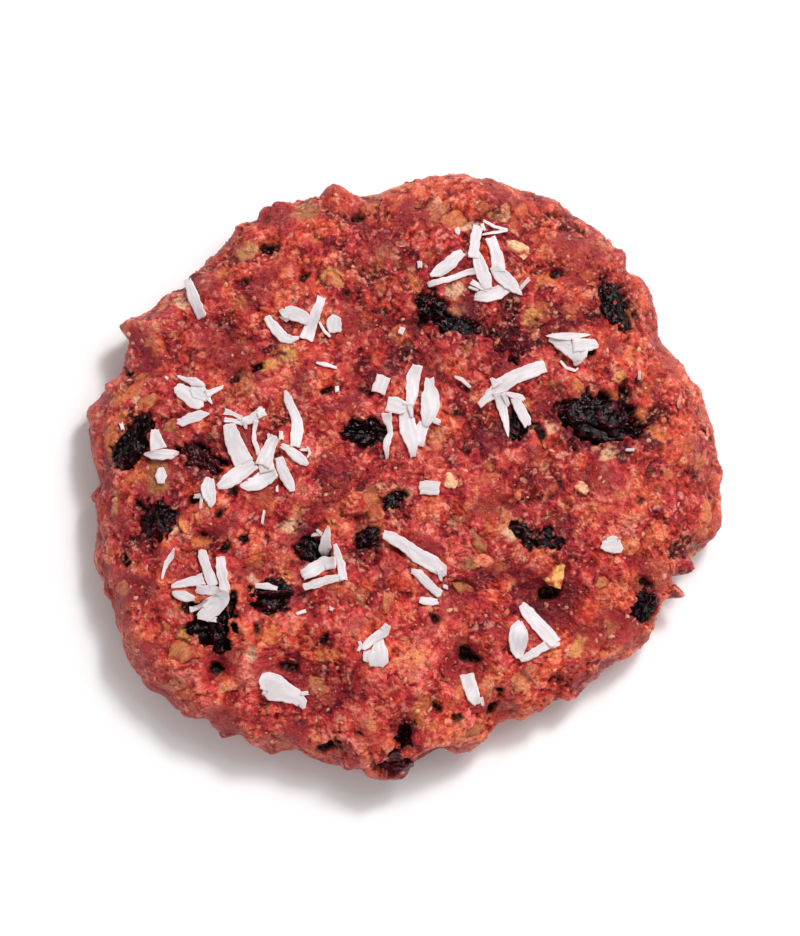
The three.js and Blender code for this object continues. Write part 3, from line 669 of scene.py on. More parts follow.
TONES = [0, 0.25, 0.5, 0.75, 1]
RED_SCALE = colours((58, 3, 9), (129, 18, 31), (183, 45, 49), (214, 76, 70), (240, 132, 119))
ORANGE_SCALE = colours((64, 5, 8), (143, 28, 25), (197, 59, 44), (228, 95, 66), (246, 151, 111))
PURPLE = colour(104, 26, 40)
FLANK_PAINTED_SHADE = colour(154, 50, 48)
FLANK_PAINTED_LIGHT = colour(214, 114, 94)
RUDDY = np.array([1.12, 0.99, 0.95])  # turns a colour a deeper red
TAN = colour(216, 132, 82)
PALE = colour(242, 160, 138)
PIT_SHADE_BLACK = colour(24, 3, 5)
BASE_BROWN = colour(142, 66, 46)
FLECK_COLOURS = {
    "tan": colour(196, 138, 88), "olive": colour(162, 104, 60), "cream": colour(234, 184, 148),
    "gold": colour(218, 150, 86), "orange": colour(212, 112, 62), "pink": colour(226, 146, 130),
    "plum": colour(70, 26, 36),
}
OAT_COLOURS = np.array(colours((216, 116, 70), (200, 88, 58), (224, 142, 94), (182, 80, 52)))
BERRY_NEARNESS_REACH = 2.0


def mixed(first, second, share):
    return first + (second - first) * np.asarray(share)[:, None]


def near_berries(points):
    """How near every point lies to a berry, from 0 to 1; the dough is darker and purpler there."""
    nearness = np.zeros(len(points))
    for place in berry_places.values():
        distance = np.linalg.norm(points - place["middle"], axis=1)
        reach = place["half"][:2].mean()
        nearness = np.maximum(nearness, smoothstep(reach + BERRY_NEARNESS_REACH, reach, distance))
    return nearness


def on_scale(tone, scale):
    """Colours at tones from 0 to 1 on a scale of five."""
    return np.stack([np.interp(tone, TONES, [stop[k] for stop in scale]) for k in range(3)], -1)


print("colours:", len(RED_SCALE) + len(ORANGE_SCALE) + len(FLECK_COLOURS) + len(OAT_COLOURS))

# %% [markdown]
# ## Tone of the dough
# The tone is brighter in soft patches. As painted light it is brighter on high fragments, clods and
# lumps, and as painted shade darker in hollows, creases and the gaps between fragments. It is also
# darker beside the berries. It is a little brighter over the lower left and the lower half, as
# painted light, and darker along the top edge, as painted shade, as in the photo; one golden area
# at the upper left is brighter too. In wet patches and shaded hollows the dough is smooth, so there
# the mottling is weaker.
# %% Tone of the dough
GOLDEN_SPOT = (-18, 25)
GOLDEN_REACH = 10

patches = 0.5 * cloud(body, 7.0, 1) + 0.5 * cloud(body, 3.2, 4)
speckle = cloud(body, 0.5, 2)
cavity = (crumb - crumb.mean()) / crumb.std()
crease = smoothstep(0.22, 0.0, clod) * fade
berry_nearness = near_berries(skin)
coarse, middle, fine = chunk_draws - 0.5
# Painted light and shade: this tone follows the height of the fragments, and further down that of
# the lumps and clods, brighter on top and darker in the hollows. The drawn shades and the speckle
# are random.
mottling = 0.11 * cavity + 0.2 * coarse[:, 1] + 0.22 * middle[:, 1]
mottling += 0.2 * fine[:, 1]
mottling += 0.3 * (speckle - 0.5)
tone = 0.54 + mottling * (1.12 - 0.55 * wet_and_hollow_shade)
tone += 0.72 * (patches - 0.5) + 0.1 * broad + 0.18 * (clod - CLOD_MEAN)
lower_half = smoothstep(0, 28, -north)
to_golden = np.hypot(east - GOLDEN_SPOT[0], north - GOLDEN_SPOT[1])
golden = np.exp(-to_golden ** 2 / GOLDEN_REACH ** 2)
# Painted light over the lower left and the lower half, and painted shade along the top edge.
tone += 0.05 * smoothstep(15, 35, -(east + north))
tone += 0.09 * lower_half + 0.14 * golden - 0.12 * smoothstep(16, 32, north)
# Painted shade in the creases and in the gaps between the large fragments; darker round the berries
# too.
tone -= 0.12 * crease + 0.14 * berry_nearness + 0.14 * (1 - inside_chunk[0]) * smoothstep(0.4, 0.6, patches)
tone = np.clip(tone, 0, 1)
print("mean tone:", tone.mean().round(3))

# %% [markdown]
# ## Paint the dough
# The rim on the upper right and the golden area baked warmer, so more orange shows there. Wet
# patches turn purple, and the hollows get purple painted shade. The left flank gets purple painted
# shade and the right flank pink painted light. Then the single fragments get their colours: oats,
# tan nut meal and pale bits, and the flecks. The pits and the berries' beds get black painted
# shade, the nut chips' beds a dark red one, and the foot its brown.
# %% Paint the dough
OAT_SHARE = 0.55
TAN_SHARE = 0.5
PALE_SHARE = 0.6
FLECK_SHARE = 0.85

rimward = np.hypot(east, north) / rim_radius(ring_angle)
baked = smoothstep(0.68, 0.92, rimward) * smoothstep(-25, 5, east + 0.4 * north)
warmth = cloud(body, 3.2, 3) + 0.25 * coarse[:, 2] + 0.05 * broad + 0.22 * np.maximum(baked, golden)
orange = smoothstep(0.44, 0.74, warmth)
paint = on_scale(tone, RED_SCALE)
paint += (on_scale(tone, ORANGE_SCALE) - paint) * orange[:, None]
# Purple in wet patches, purple painted shade in the hollows, and purple round the berries.
paint = mixed(paint, PURPLE, np.clip(0.5 * wet_and_hollow_shade + 0.3 * berry_nearness, 0, 0.65))
paint = mixed(paint, paint * RUDDY, lower_half)
# Painted shade on the left flank and painted light on the right one.
paint = mixed(paint, FLANK_PAINTED_SHADE, 0.4 * low * leftness)
paint = mixed(paint, FLANK_PAINTED_LIGHT, 0.3 * low * rightness * tone)
grit = (0.75 + 0.5 * speckle)[:, None]
oats = OAT_COLOURS[(chunk_draws[0, :, 1] * 3.99).astype(int)] * grit
oat_share = (chunk_draws[0, :, 2] > FLAKE_FROM) * smoothstep(0.1, 0.8, inside_chunk[0])
paint = mixed(paint, oats, OAT_SHARE * oat_share * smoothstep(0.3, 0.55, patches))
# Fewer pale bits in wet patches and in the shaded hollows.
dry_and_unshaded = 1 - 0.75 * wet_and_hollow_shade
tan_bits = (middle[:, 2] > 0.44) * smoothstep(0.1, 0.7, inside_chunk[1])
paint = mixed(paint, TAN * grit, TAN_SHARE * dry_and_unshaded * tan_bits)
pale_bits = (fine[:, 2] > 0.41) * smoothstep(0.1, 0.6, inside_chunk[2])
paint = mixed(paint, PALE * grit, PALE_SHARE * dry_and_unshaded * pale_bits)
fleck_paint = np.array([FLECK_COLOURS[row[5]] for row in FLECKS])[fleck_rows] * grit
paint = mixed(paint, fleck_paint, FLECK_SHARE * flecks * smoothstep(-2.2, -0.6, cavity))
# Painted shade: black in the pits and clefts and in the berries' beds, and a dark red in the nut
# chips' beds.
paint = mixed(paint, PIT_SHADE_BLACK, np.clip(-pits / PIT_DEPTH * 1.6 - 0.1, 0, 1))
paint = mixed(paint, PIT_SHADE_BLACK, berry_bed)
paint = mixed(paint, RED_SCALE[1], 0.6 * nut_bed)
paint = mixed(paint, BASE_BROWN, smoothstep(2.2, 0.4, smooth_points[:, 2]))
print("mean paint:", paint.mean(axis=0).round(3))

# %% [markdown]
# ## Where the mash shows
# The finish below adds grains too small to mesh. They show in patches: little where the dough is
# wet, in the shaded hollows and where the flank is smooth, more between. That share is kept on the
# corners too.
# %% Share of grain
graininess = 0.3 + 0.9 * smoothstep(0.36, 0.6, cloud(body, 2.4, 9))
graininess = graininess * (1 - 0.6 * wet_and_hollow_shade) * (0.5 + 0.5 * calm)
print("mean share of grain:", graininess.mean().round(2))

# %% [markdown]
# ## Mesh and finish helpers
# Every piece is a plain mesh with its colours on its corners, and rides on the one body that
# the cookie has. The same few nodes serve every finish, so they are made by short helpers.
# %% Helpers for meshes and nodes


def mesh_object(name, corners, faces, paints, finish, grain=1.0):
    """A smooth-shaded mesh in metres with its colours and its share of grain on its corners."""
    mesh = bpy.data.meshes.new(name)
    mesh.from_pydata((np.asarray(corners) * MM).tolist(), [], np.asarray(faces).tolist())
    mesh.validate()
    mesh.shade_smooth()
    layer = mesh.color_attributes.new("paint", "FLOAT_COLOR", "POINT")
    rgba = np.ones((len(corners), 4), dtype=np.float32)
    rgba[:, :3] = np.clip(paints, 0, 1)
    layer.data.foreach_set("color", rgba.ravel())
    grains = (np.zeros(len(corners)) + grain).astype(np.float32)
    mesh.attributes.new("grain", "FLOAT", "POINT").data.foreach_set("value", grains)
    mesh.materials.append(finish)
    piece = bpy.data.objects.new(name, mesh)
    bpy.context.collection.objects.link(piece)
    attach(piece, "root")
    print(name + ":", len(corners), "corners", len(faces), "faces")
    return piece


def ranged(tree, value, low, high, start=0.3, end=0.7):
    """Maps a noise value onto a range."""
    inputs = {"Value": value, "From Min": start, "From Max": end, "To Min": low, "To Max": high}
    return add_node(tree, "MapRange", inputs).outputs["Result"]


def blended(tree, kind, share, first, second):
    inputs = {"Factor": share, "A": first, "B": second}
    return add_node(tree, "Mix", inputs, data_type="RGBA", blend_type=kind).outputs["Result"]


print("helpers for meshes and nodes are ready")

# %% [markdown]
# ## Finishes
# One finish is used with different numbers: painted colour, fine noise that breaks the gloss, a
# bump for grain too small to mesh, and a little light carried under the surface, as moist food has.
# Berry skins add Voronoi blisters to the bump. The dough adds Voronoi grains half a millimetre
# wide, each with its own shade, which is the finest mash the photo shows; the gaps between them get
# painted shade, and their pale pink specks are partly grains and partly painted glints.
# %% Finishes
PINK_SPECK_AND_GLINT = colour(240, 160, 132)
SWIRL_SIZE = 1.3
SWIRL_REACH = 1.0
SPECK_SIZE = 0.62
UNDER_COLOURS = (1.0, 0.35, 0.25)  # red light goes further under a moist skin
UNDER_DEPTH = 0.6


def voronoi_grains(tree, place, size):
    """Rounded cells of a size in millimetres on a swirled grid, and the swirled place."""
    waves = {"Vector": place, "Scale": 1 / (SWIRL_SIZE * MM), "Detail": 3}
    swirl = add_node(tree, "TexNoise", waves)
    bend = {0: swirl.outputs["Color"], 1: (SWIRL_REACH * MM,) * 3, 2: place}
    bent = add_node(tree, "VectorMath", bend, operation="MULTIPLY_ADD").outputs["Vector"]
    cells = {"Vector": bent, "Scale": 1 / (size * MM), "Smoothness": 0.4}
    return add_node(tree, "TexVoronoi", cells, feature="SMOOTH_F1"), bent


def mash_colours(tree, base, grains, specks):
    """Grain shades, painted shade in the gaps, pale specks that are partly painted glints, moist
    spots.
    """
    share = add_node(tree, "Attribute", {}, attribute_name="grain").outputs["Fac"]
    own = add_node(tree, "SeparateColor", {"Color": grains.outputs["Color"]})
    shade = ranged(tree, own.outputs["Red"], 0.82, 1.18, 0.1, 0.9)
    base = blended(tree, "MULTIPLY", share, base, shade)
    # Painted shade in the gaps between the grains.
    painted_gap_shade = ranged(tree, grains.outputs["Distance"], 1.04, 0.88, 0.25, 0.75)
    base = blended(tree, "MULTIPLY", share, base, painted_gap_shade)
    # Pale pink specks on the raised spots, partly pale grains and partly painted glints.
    pale = ranged(tree, specks, 0.0, 0.45, 0.57, 0.7)
    pale = add_node(tree, "Math", {0: pale, 1: share}, operation="MULTIPLY").outputs["Value"]
    base = blended(tree, "MIX", pale, base, (*PINK_SPECK_AND_GLINT, 1))
    moist = ranged(tree, specks, 0.6, 1.0, 0.34, 0.48)
    return blended(tree, "MULTIPLY", share, base, moist)


def summed(tree, first, second):
    return add_node(tree, "Math", {0: first, 1: second}, operation="ADD").outputs["Value"]


def food_finish(name, rough, grain, bump, speckle, under=0.0, gloss=0.5, mash=0.0, blisters=0.0):
    """Painted food. The sizes grain, bump, mash and blisters are in millimetres."""
    material = bpy.data.materials.new(name)
    material.use_nodes = True
    tree = material.node_tree
    shader = tree.nodes["Principled BSDF"]
    base = add_node(tree, "VertexColor", {}, layer_name="paint").outputs["Color"]
    place = add_node(tree, "TexCoord", {}).outputs["Object"]
    fine = add_node(tree, "TexNoise", {"Vector": place, "Scale": 1 / (grain * MM), "Detail": 3})
    height = fine.outputs["Fac"]
    base = blended(tree, "MULTIPLY", 1.0, base, ranged(tree, height, 1 - speckle, 1 + speckle))
    if mash or blisters:
        grains, bent = voronoi_grains(tree, place, mash or blisters)
        height = summed(tree, height, ranged(tree, grains.outputs["Distance"], 1.0, 0.0, 0.0, 0.9))
    if mash:
        spots = {"Vector": bent, "Scale": 1 / (SPECK_SIZE * MM), "Detail": 1.5}
        specks = add_node(tree, "TexNoise", spots).outputs["Fac"]
        base = mash_colours(tree, base, grains, specks)
        height = summed(tree, height, specks)
    tree.links.new(base, shader.inputs["Base Color"])
    tree.links.new(ranged(tree, fine.outputs["Fac"], *rough), shader.inputs["Roughness"])
    raised = add_node(tree, "Bump", {"Strength": 1.0, "Distance": bump * MM, "Height": height})
    tree.links.new(raised.outputs["Normal"], shader.inputs["Normal"])
    shader.inputs["Specular IOR Level"].default_value = gloss
    shader.inputs["Subsurface Weight"].default_value = under
    shader.inputs["Subsurface Radius"].default_value = UNDER_COLOURS
    shader.inputs["Subsurface Scale"].default_value = UNDER_DEPTH * MM
    return material


dough_finish = food_finish(
    "moist_dough", (0.24, 0.45), 0.26, 0.2, 0.2, under=0.1, gloss=0.35, mash=0.55,
)
print("finish:", dough_finish.name, len(dough_finish.node_tree.nodes), "nodes")

# %% [markdown]
# ## The underside
# No photo shows it. A cookie's underside is flat against its tray, browner than the rest, with
# small pits where air was caught. Coarser rings carry the skin from the foot to the middle.
# %% Close the underside
BASE_RINGS = 44
BASE_POINTS = 12
BASE_PIT = 0.35

foot_counts = [n * BASE_POINTS for n in range(BASE_RINGS, 0, -1)]
foot_angle = np.concatenate([TAU * np.arange(c) / c for c in foot_counts] + [[0]])
foot_steps = zip(range(BASE_RINGS, 0, -1), foot_counts)
foot_share = np.concatenate([np.full(c, n / (BASE_RINGS + 1)) for n, c in foot_steps] + [[0]])
foot_radius = (rim_radius(foot_angle) - FOOT_INSET) * foot_share
under = np.stack([foot_radius * np.cos(foot_angle), foot_radius * np.sin(foot_angle)], -1)
under_pits = cloud(np.column_stack([under, np.zeros(len(under))]), 1.4, 5)
under_height = BASE_PIT * smoothstep(0.55, 0.85, under_pits)
under = np.column_stack([under, under_height]) + SHIFT
base_paint = np.tile(BASE_BROWN, (len(under), 1)) * (0.7 + 0.6 * under_pits)[:, None]
# Painted shade: the pits of the underside are darker.
base_paint = mixed(base_paint, RED_SCALE[0], 0.8 * under_height / BASE_PIT)

under_faces = stitched(ring_counts[-1:] + foot_counts)[ring_counts[-1]:]
shift_index = len(skin) - 1 - ring_counts[-1]
under_faces = [tuple(corner + shift_index for corner in face) for face in under_faces]
last = len(skin) + len(under) - 1
inner_start = last - foot_counts[-1]
under_faces += [
    (inner_start + n, last, inner_start + (n + 1) % foot_counts[-1]) for n in range(foot_counts[-1])
]
dough_corners = np.concatenate([skin, under])
dough_faces = skin_faces + under_faces
dough_paint = np.concatenate([paint, base_paint])
dough_grain = np.concatenate([graininess, np.ones(len(under))])
dough = mesh_object(
    "dough_skin", dough_corners, dough_faces, dough_paint, dough_finish, dough_grain,
)
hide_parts("dough")
ground_trees = [BVHTree.FromPolygons(dough_corners.tolist(), dough_faces)]

# %% [markdown]
# ## Dried berries
# A dried berry is a near-black skin that shrank over its flesh: meandering ridges with deep furrows
# between them, sticky and shiny. Each is a ball laid on the axes of its imported solid and furrowed
# with ridged noise, which gives the folds that plain bumps can't. In places the highest folds get
# greyish pink painted glints, and a few berries show their wine-red flesh.
# %% Dried berries
BERRY_ROUND = 88
BERRY_RINGS = 64
BERRY_BLACK = colour(12, 3, 5)
BERRY_RIDGE = colour(84, 20, 34)
BERRY_PAINTED_GLINT = colour(150, 108, 114)
BERRY_WINE = colour(76, 12, 22)
WINE_BERRIES = {
    "dried_berry_06": 0.7, "dried_berry_09": 0.25, "dried_berry_10": 0.4, "dried_berry_20": 0.7,
}
BERRY_FIT = np.array([1.2, 1.2, 0.82])
BERRY_SINK = 0.12
BERRY_SQUARENESS = 2.7
FOLD_SIZE = 0.95
FOLD_DEPTH = 0.62


def ball(around, rings):
    """Directions and faces of a ball with its tips on the X axis."""
    turns = TAU * np.arange(around) / around
    tilts = math.pi * (np.arange(rings) + 0.5) / rings
    x = np.repeat(np.cos(tilts), around)
    radius = np.repeat(np.sin(tilts), around)
    y = radius * np.tile(np.cos(turns), rings)
    z = radius * np.tile(np.sin(turns), rings)
    directions = np.vstack([np.stack([x, y, z], -1), [[1, 0, 0], [-1, 0, 0]]])
    faces = []
    for ring in range(rings - 1):
        for n in range(around):
            a, b = ring * around + n, ring * around + (n + 1) % around
            faces += [(a, b + around, b), (a, a + around, b + around)]
    first, second = rings * around, rings * around + 1
    for n in range(around):
        faces.append((first, n, (n + 1) % around))
        faces.append((second, (rings - 1) * around + (n + 1) % around, (rings - 1) * around + n))
    return directions, faces


def pillow(directions, power):
    """Reach of a form that is flatter on top than a ball, for every direction."""
    across = np.hypot(directions[:, 0], directions[:, 1])
    return (across ** power + np.abs(directions[:, 2]) ** power) ** (-1 / power)


def ridge(place):
    return 1 - abs(noise.noise(place)) * 2.6


def furrowed(directions, half, seed):
    """Shares of the full radius at every direction, and how high each stands on a ridge."""
    shares = pillow(directions, BERRY_SQUARENESS)
    ridges = np.empty(len(directions))
    offset = Vector((seed * 11.7, seed * 3.1, seed * 7.9))
    for i, direction in enumerate(directions):
        place = Vector(direction * half) / FOLD_SIZE + offset
        bent = place + 0.8 * noise.noise_vector(place * 0.6)
        stretched = Vector((bent.x * 0.22, bent.y, bent.z))
        fold = 0.7 * ridge(stretched * 0.9) + 0.3 * ridge(bent * 1.3 + offset)
        ridges[i] = fold
        swell = 0.35 * noise.noise(place * 0.4)
        folded = FOLD_DEPTH * (fold - 0.7) / half[:2].mean() * 1.6
        shares[i] *= 1 + swell + folded
    return shares, ridges


berry_finish = food_finish(
    "sticky_berry_skin", (0.1, 0.24), 0.35, 0.2, 0.15, gloss=0.45, blisters=0.8,
)
ball_directions, ball_faces = ball(BERRY_ROUND, BERRY_RINGS)
berry_corners, berry_tints = [], []
for number, (name, place) in enumerate(berry_places.items()):
    shares, ridges = furrowed(ball_directions, place["half"], number + 1)
    local = ball_directions * shares[:, None] * place["half"] * BERRY_FIT
    local[:, 2] -= BERRY_SINK * place["half"][2]
    corners = place["middle"] + local @ place["axes"]
    skin_black = np.tile(BERRY_BLACK, (len(corners), 1))
    tint = mixed(skin_black, BERRY_RIDGE, smoothstep(0.7, 1.0, ridges))
    # Painted glints, greyish pink, on the highest folds in places.
    painted_glint = smoothstep(0.92, 1.0, ridges) * smoothstep(0.4, 0.6, cloud(corners, 1.2, 13))
    tint = mixed(tint, BERRY_PAINTED_GLINT, 0.7 * painted_glint)
    flesh = WINE_BERRIES.get(name, 0.1) + 0.6 * cloud(corners, 1.1, 12) - 0.2
    tint = mixed(tint, BERRY_WINE, smoothstep(0.3, 0.6, flesh) * 0.9)
    berry = mesh_object("wrinkled_" + name, corners, ball_faces, tint, berry_finish)
    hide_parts(name)
    berry_corners.append(corners)
    berry_tints.append(tint)
    ground_trees.append(BVHTree.FromPolygons(corners.tolist(), ball_faces))

# %% [markdown]
# ## Cut shapes
# Nut chips and grains have flat faces where they were chopped. A ball becomes such a shape when
# each direction stops at the nearest of a few random planes. The same few lines make every
# chip, grain and crumb, with coarse balls for the small ones. A slow swell makes crumbs uneven.
# %% Cut shapes
LONGEST_REACH = 1.15


def cut_radii(directions, count, planes, seed, swell=0.0):
    """For each of count shapes, how far it reaches in every direction before it meets a plane."""
    dice = np.random.default_rng(seed)
    facing = dice.normal(size=(count, planes, 3))
    facing /= np.linalg.norm(facing, axis=2, keepdims=True)
    offset = dice.uniform(0.5, 0.95, size=(count, planes, 1))
    against = np.maximum(facing @ directions.T, 0.2)
    radii = np.minimum((offset / against).min(axis=1), LONGEST_REACH)
    lobes = facing[:, :2] @ directions.T
    return radii * (1 + swell * lobes[:, 0] * lobes[:, 1])


print("cut shapes reach", LONGEST_REACH, "of a ball at most")

# %% [markdown]
# ## Nut chips
# The larger chips lie nearly flush with the dough: tan and olive pieces, a few cream and orange
# ones, and one bright yellow kernel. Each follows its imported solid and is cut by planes. Dough
# smears over its rim, as it does where a chip was pressed in.
# %% Nut chips
NUT_TAN = colour(196, 122, 76)
NUT_OLIVE = colour(164, 106, 62)
NUT_CREAM = colour(238, 186, 142)
NUT_GOLD = colour(242, 178, 104)
NUT_ORANGE = colour(212, 116, 68)
NUT_COLOURS = [
    NUT_TAN, NUT_TAN, NUT_OLIVE, NUT_OLIVE, NUT_TAN, NUT_OLIVE, NUT_CREAM, NUT_GOLD,
    NUT_TAN, NUT_ORANGE, NUT_CREAM, NUT_ORANGE, NUT_TAN, NUT_CREAM, NUT_TAN, NUT_TAN,
]
NUT_PLANES = 11
NUT_SPREAD = np.array([1.32, 1.32, 0.85])
NUT_LIFT = 0.02
NUT_SEED = 71
NUT_ROUND = 40
NUT_RINGS = 26
nut_finish = food_finish("cut_nut", (0.4, 0.6), 0.3, 0.1, 0.3, under=0.2, gloss=0.3)
nut_directions, nut_faces = ball(NUT_ROUND, NUT_RINGS)
nut_radii = cut_radii(nut_directions, len(nut_places), NUT_PLANES, NUT_SEED)
for number, (name, place) in enumerate(nut_places.items()):
    local = nut_directions * nut_radii[number][:, None] * place["half"] * NUT_SPREAD
    local[:, 2] += NUT_LIFT
    corners = place["middle"] + local @ place["axes"]
    corners += nut_directions @ place["axes"] * ragged(corners, 0.6, 0.24)[:, None]
    tone = 0.5 + 0.5 * cloud(corners, 1.3, 8) + 0.45 * cloud(corners, 0.4, 9)
    outward = np.hypot(local[:, 0] / place["half"][0], local[:, 1] / place["half"][1])
    rim = smoothstep(0.5, 1.0, outward)
    smears = smoothstep(0.35, 0.65, cloud(corners, 0.8, 7))
    dough_on_it = np.clip((0.3 + 0.9 * rim) * smears, 0, 0.9)
    tint = mixed(NUT_COLOURS[number] * tone[:, None], RED_SCALE[2], dough_on_it)
    nut = mesh_object("cut_" + name, corners, nut_faces, tint, nut_finish)
    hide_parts(name)

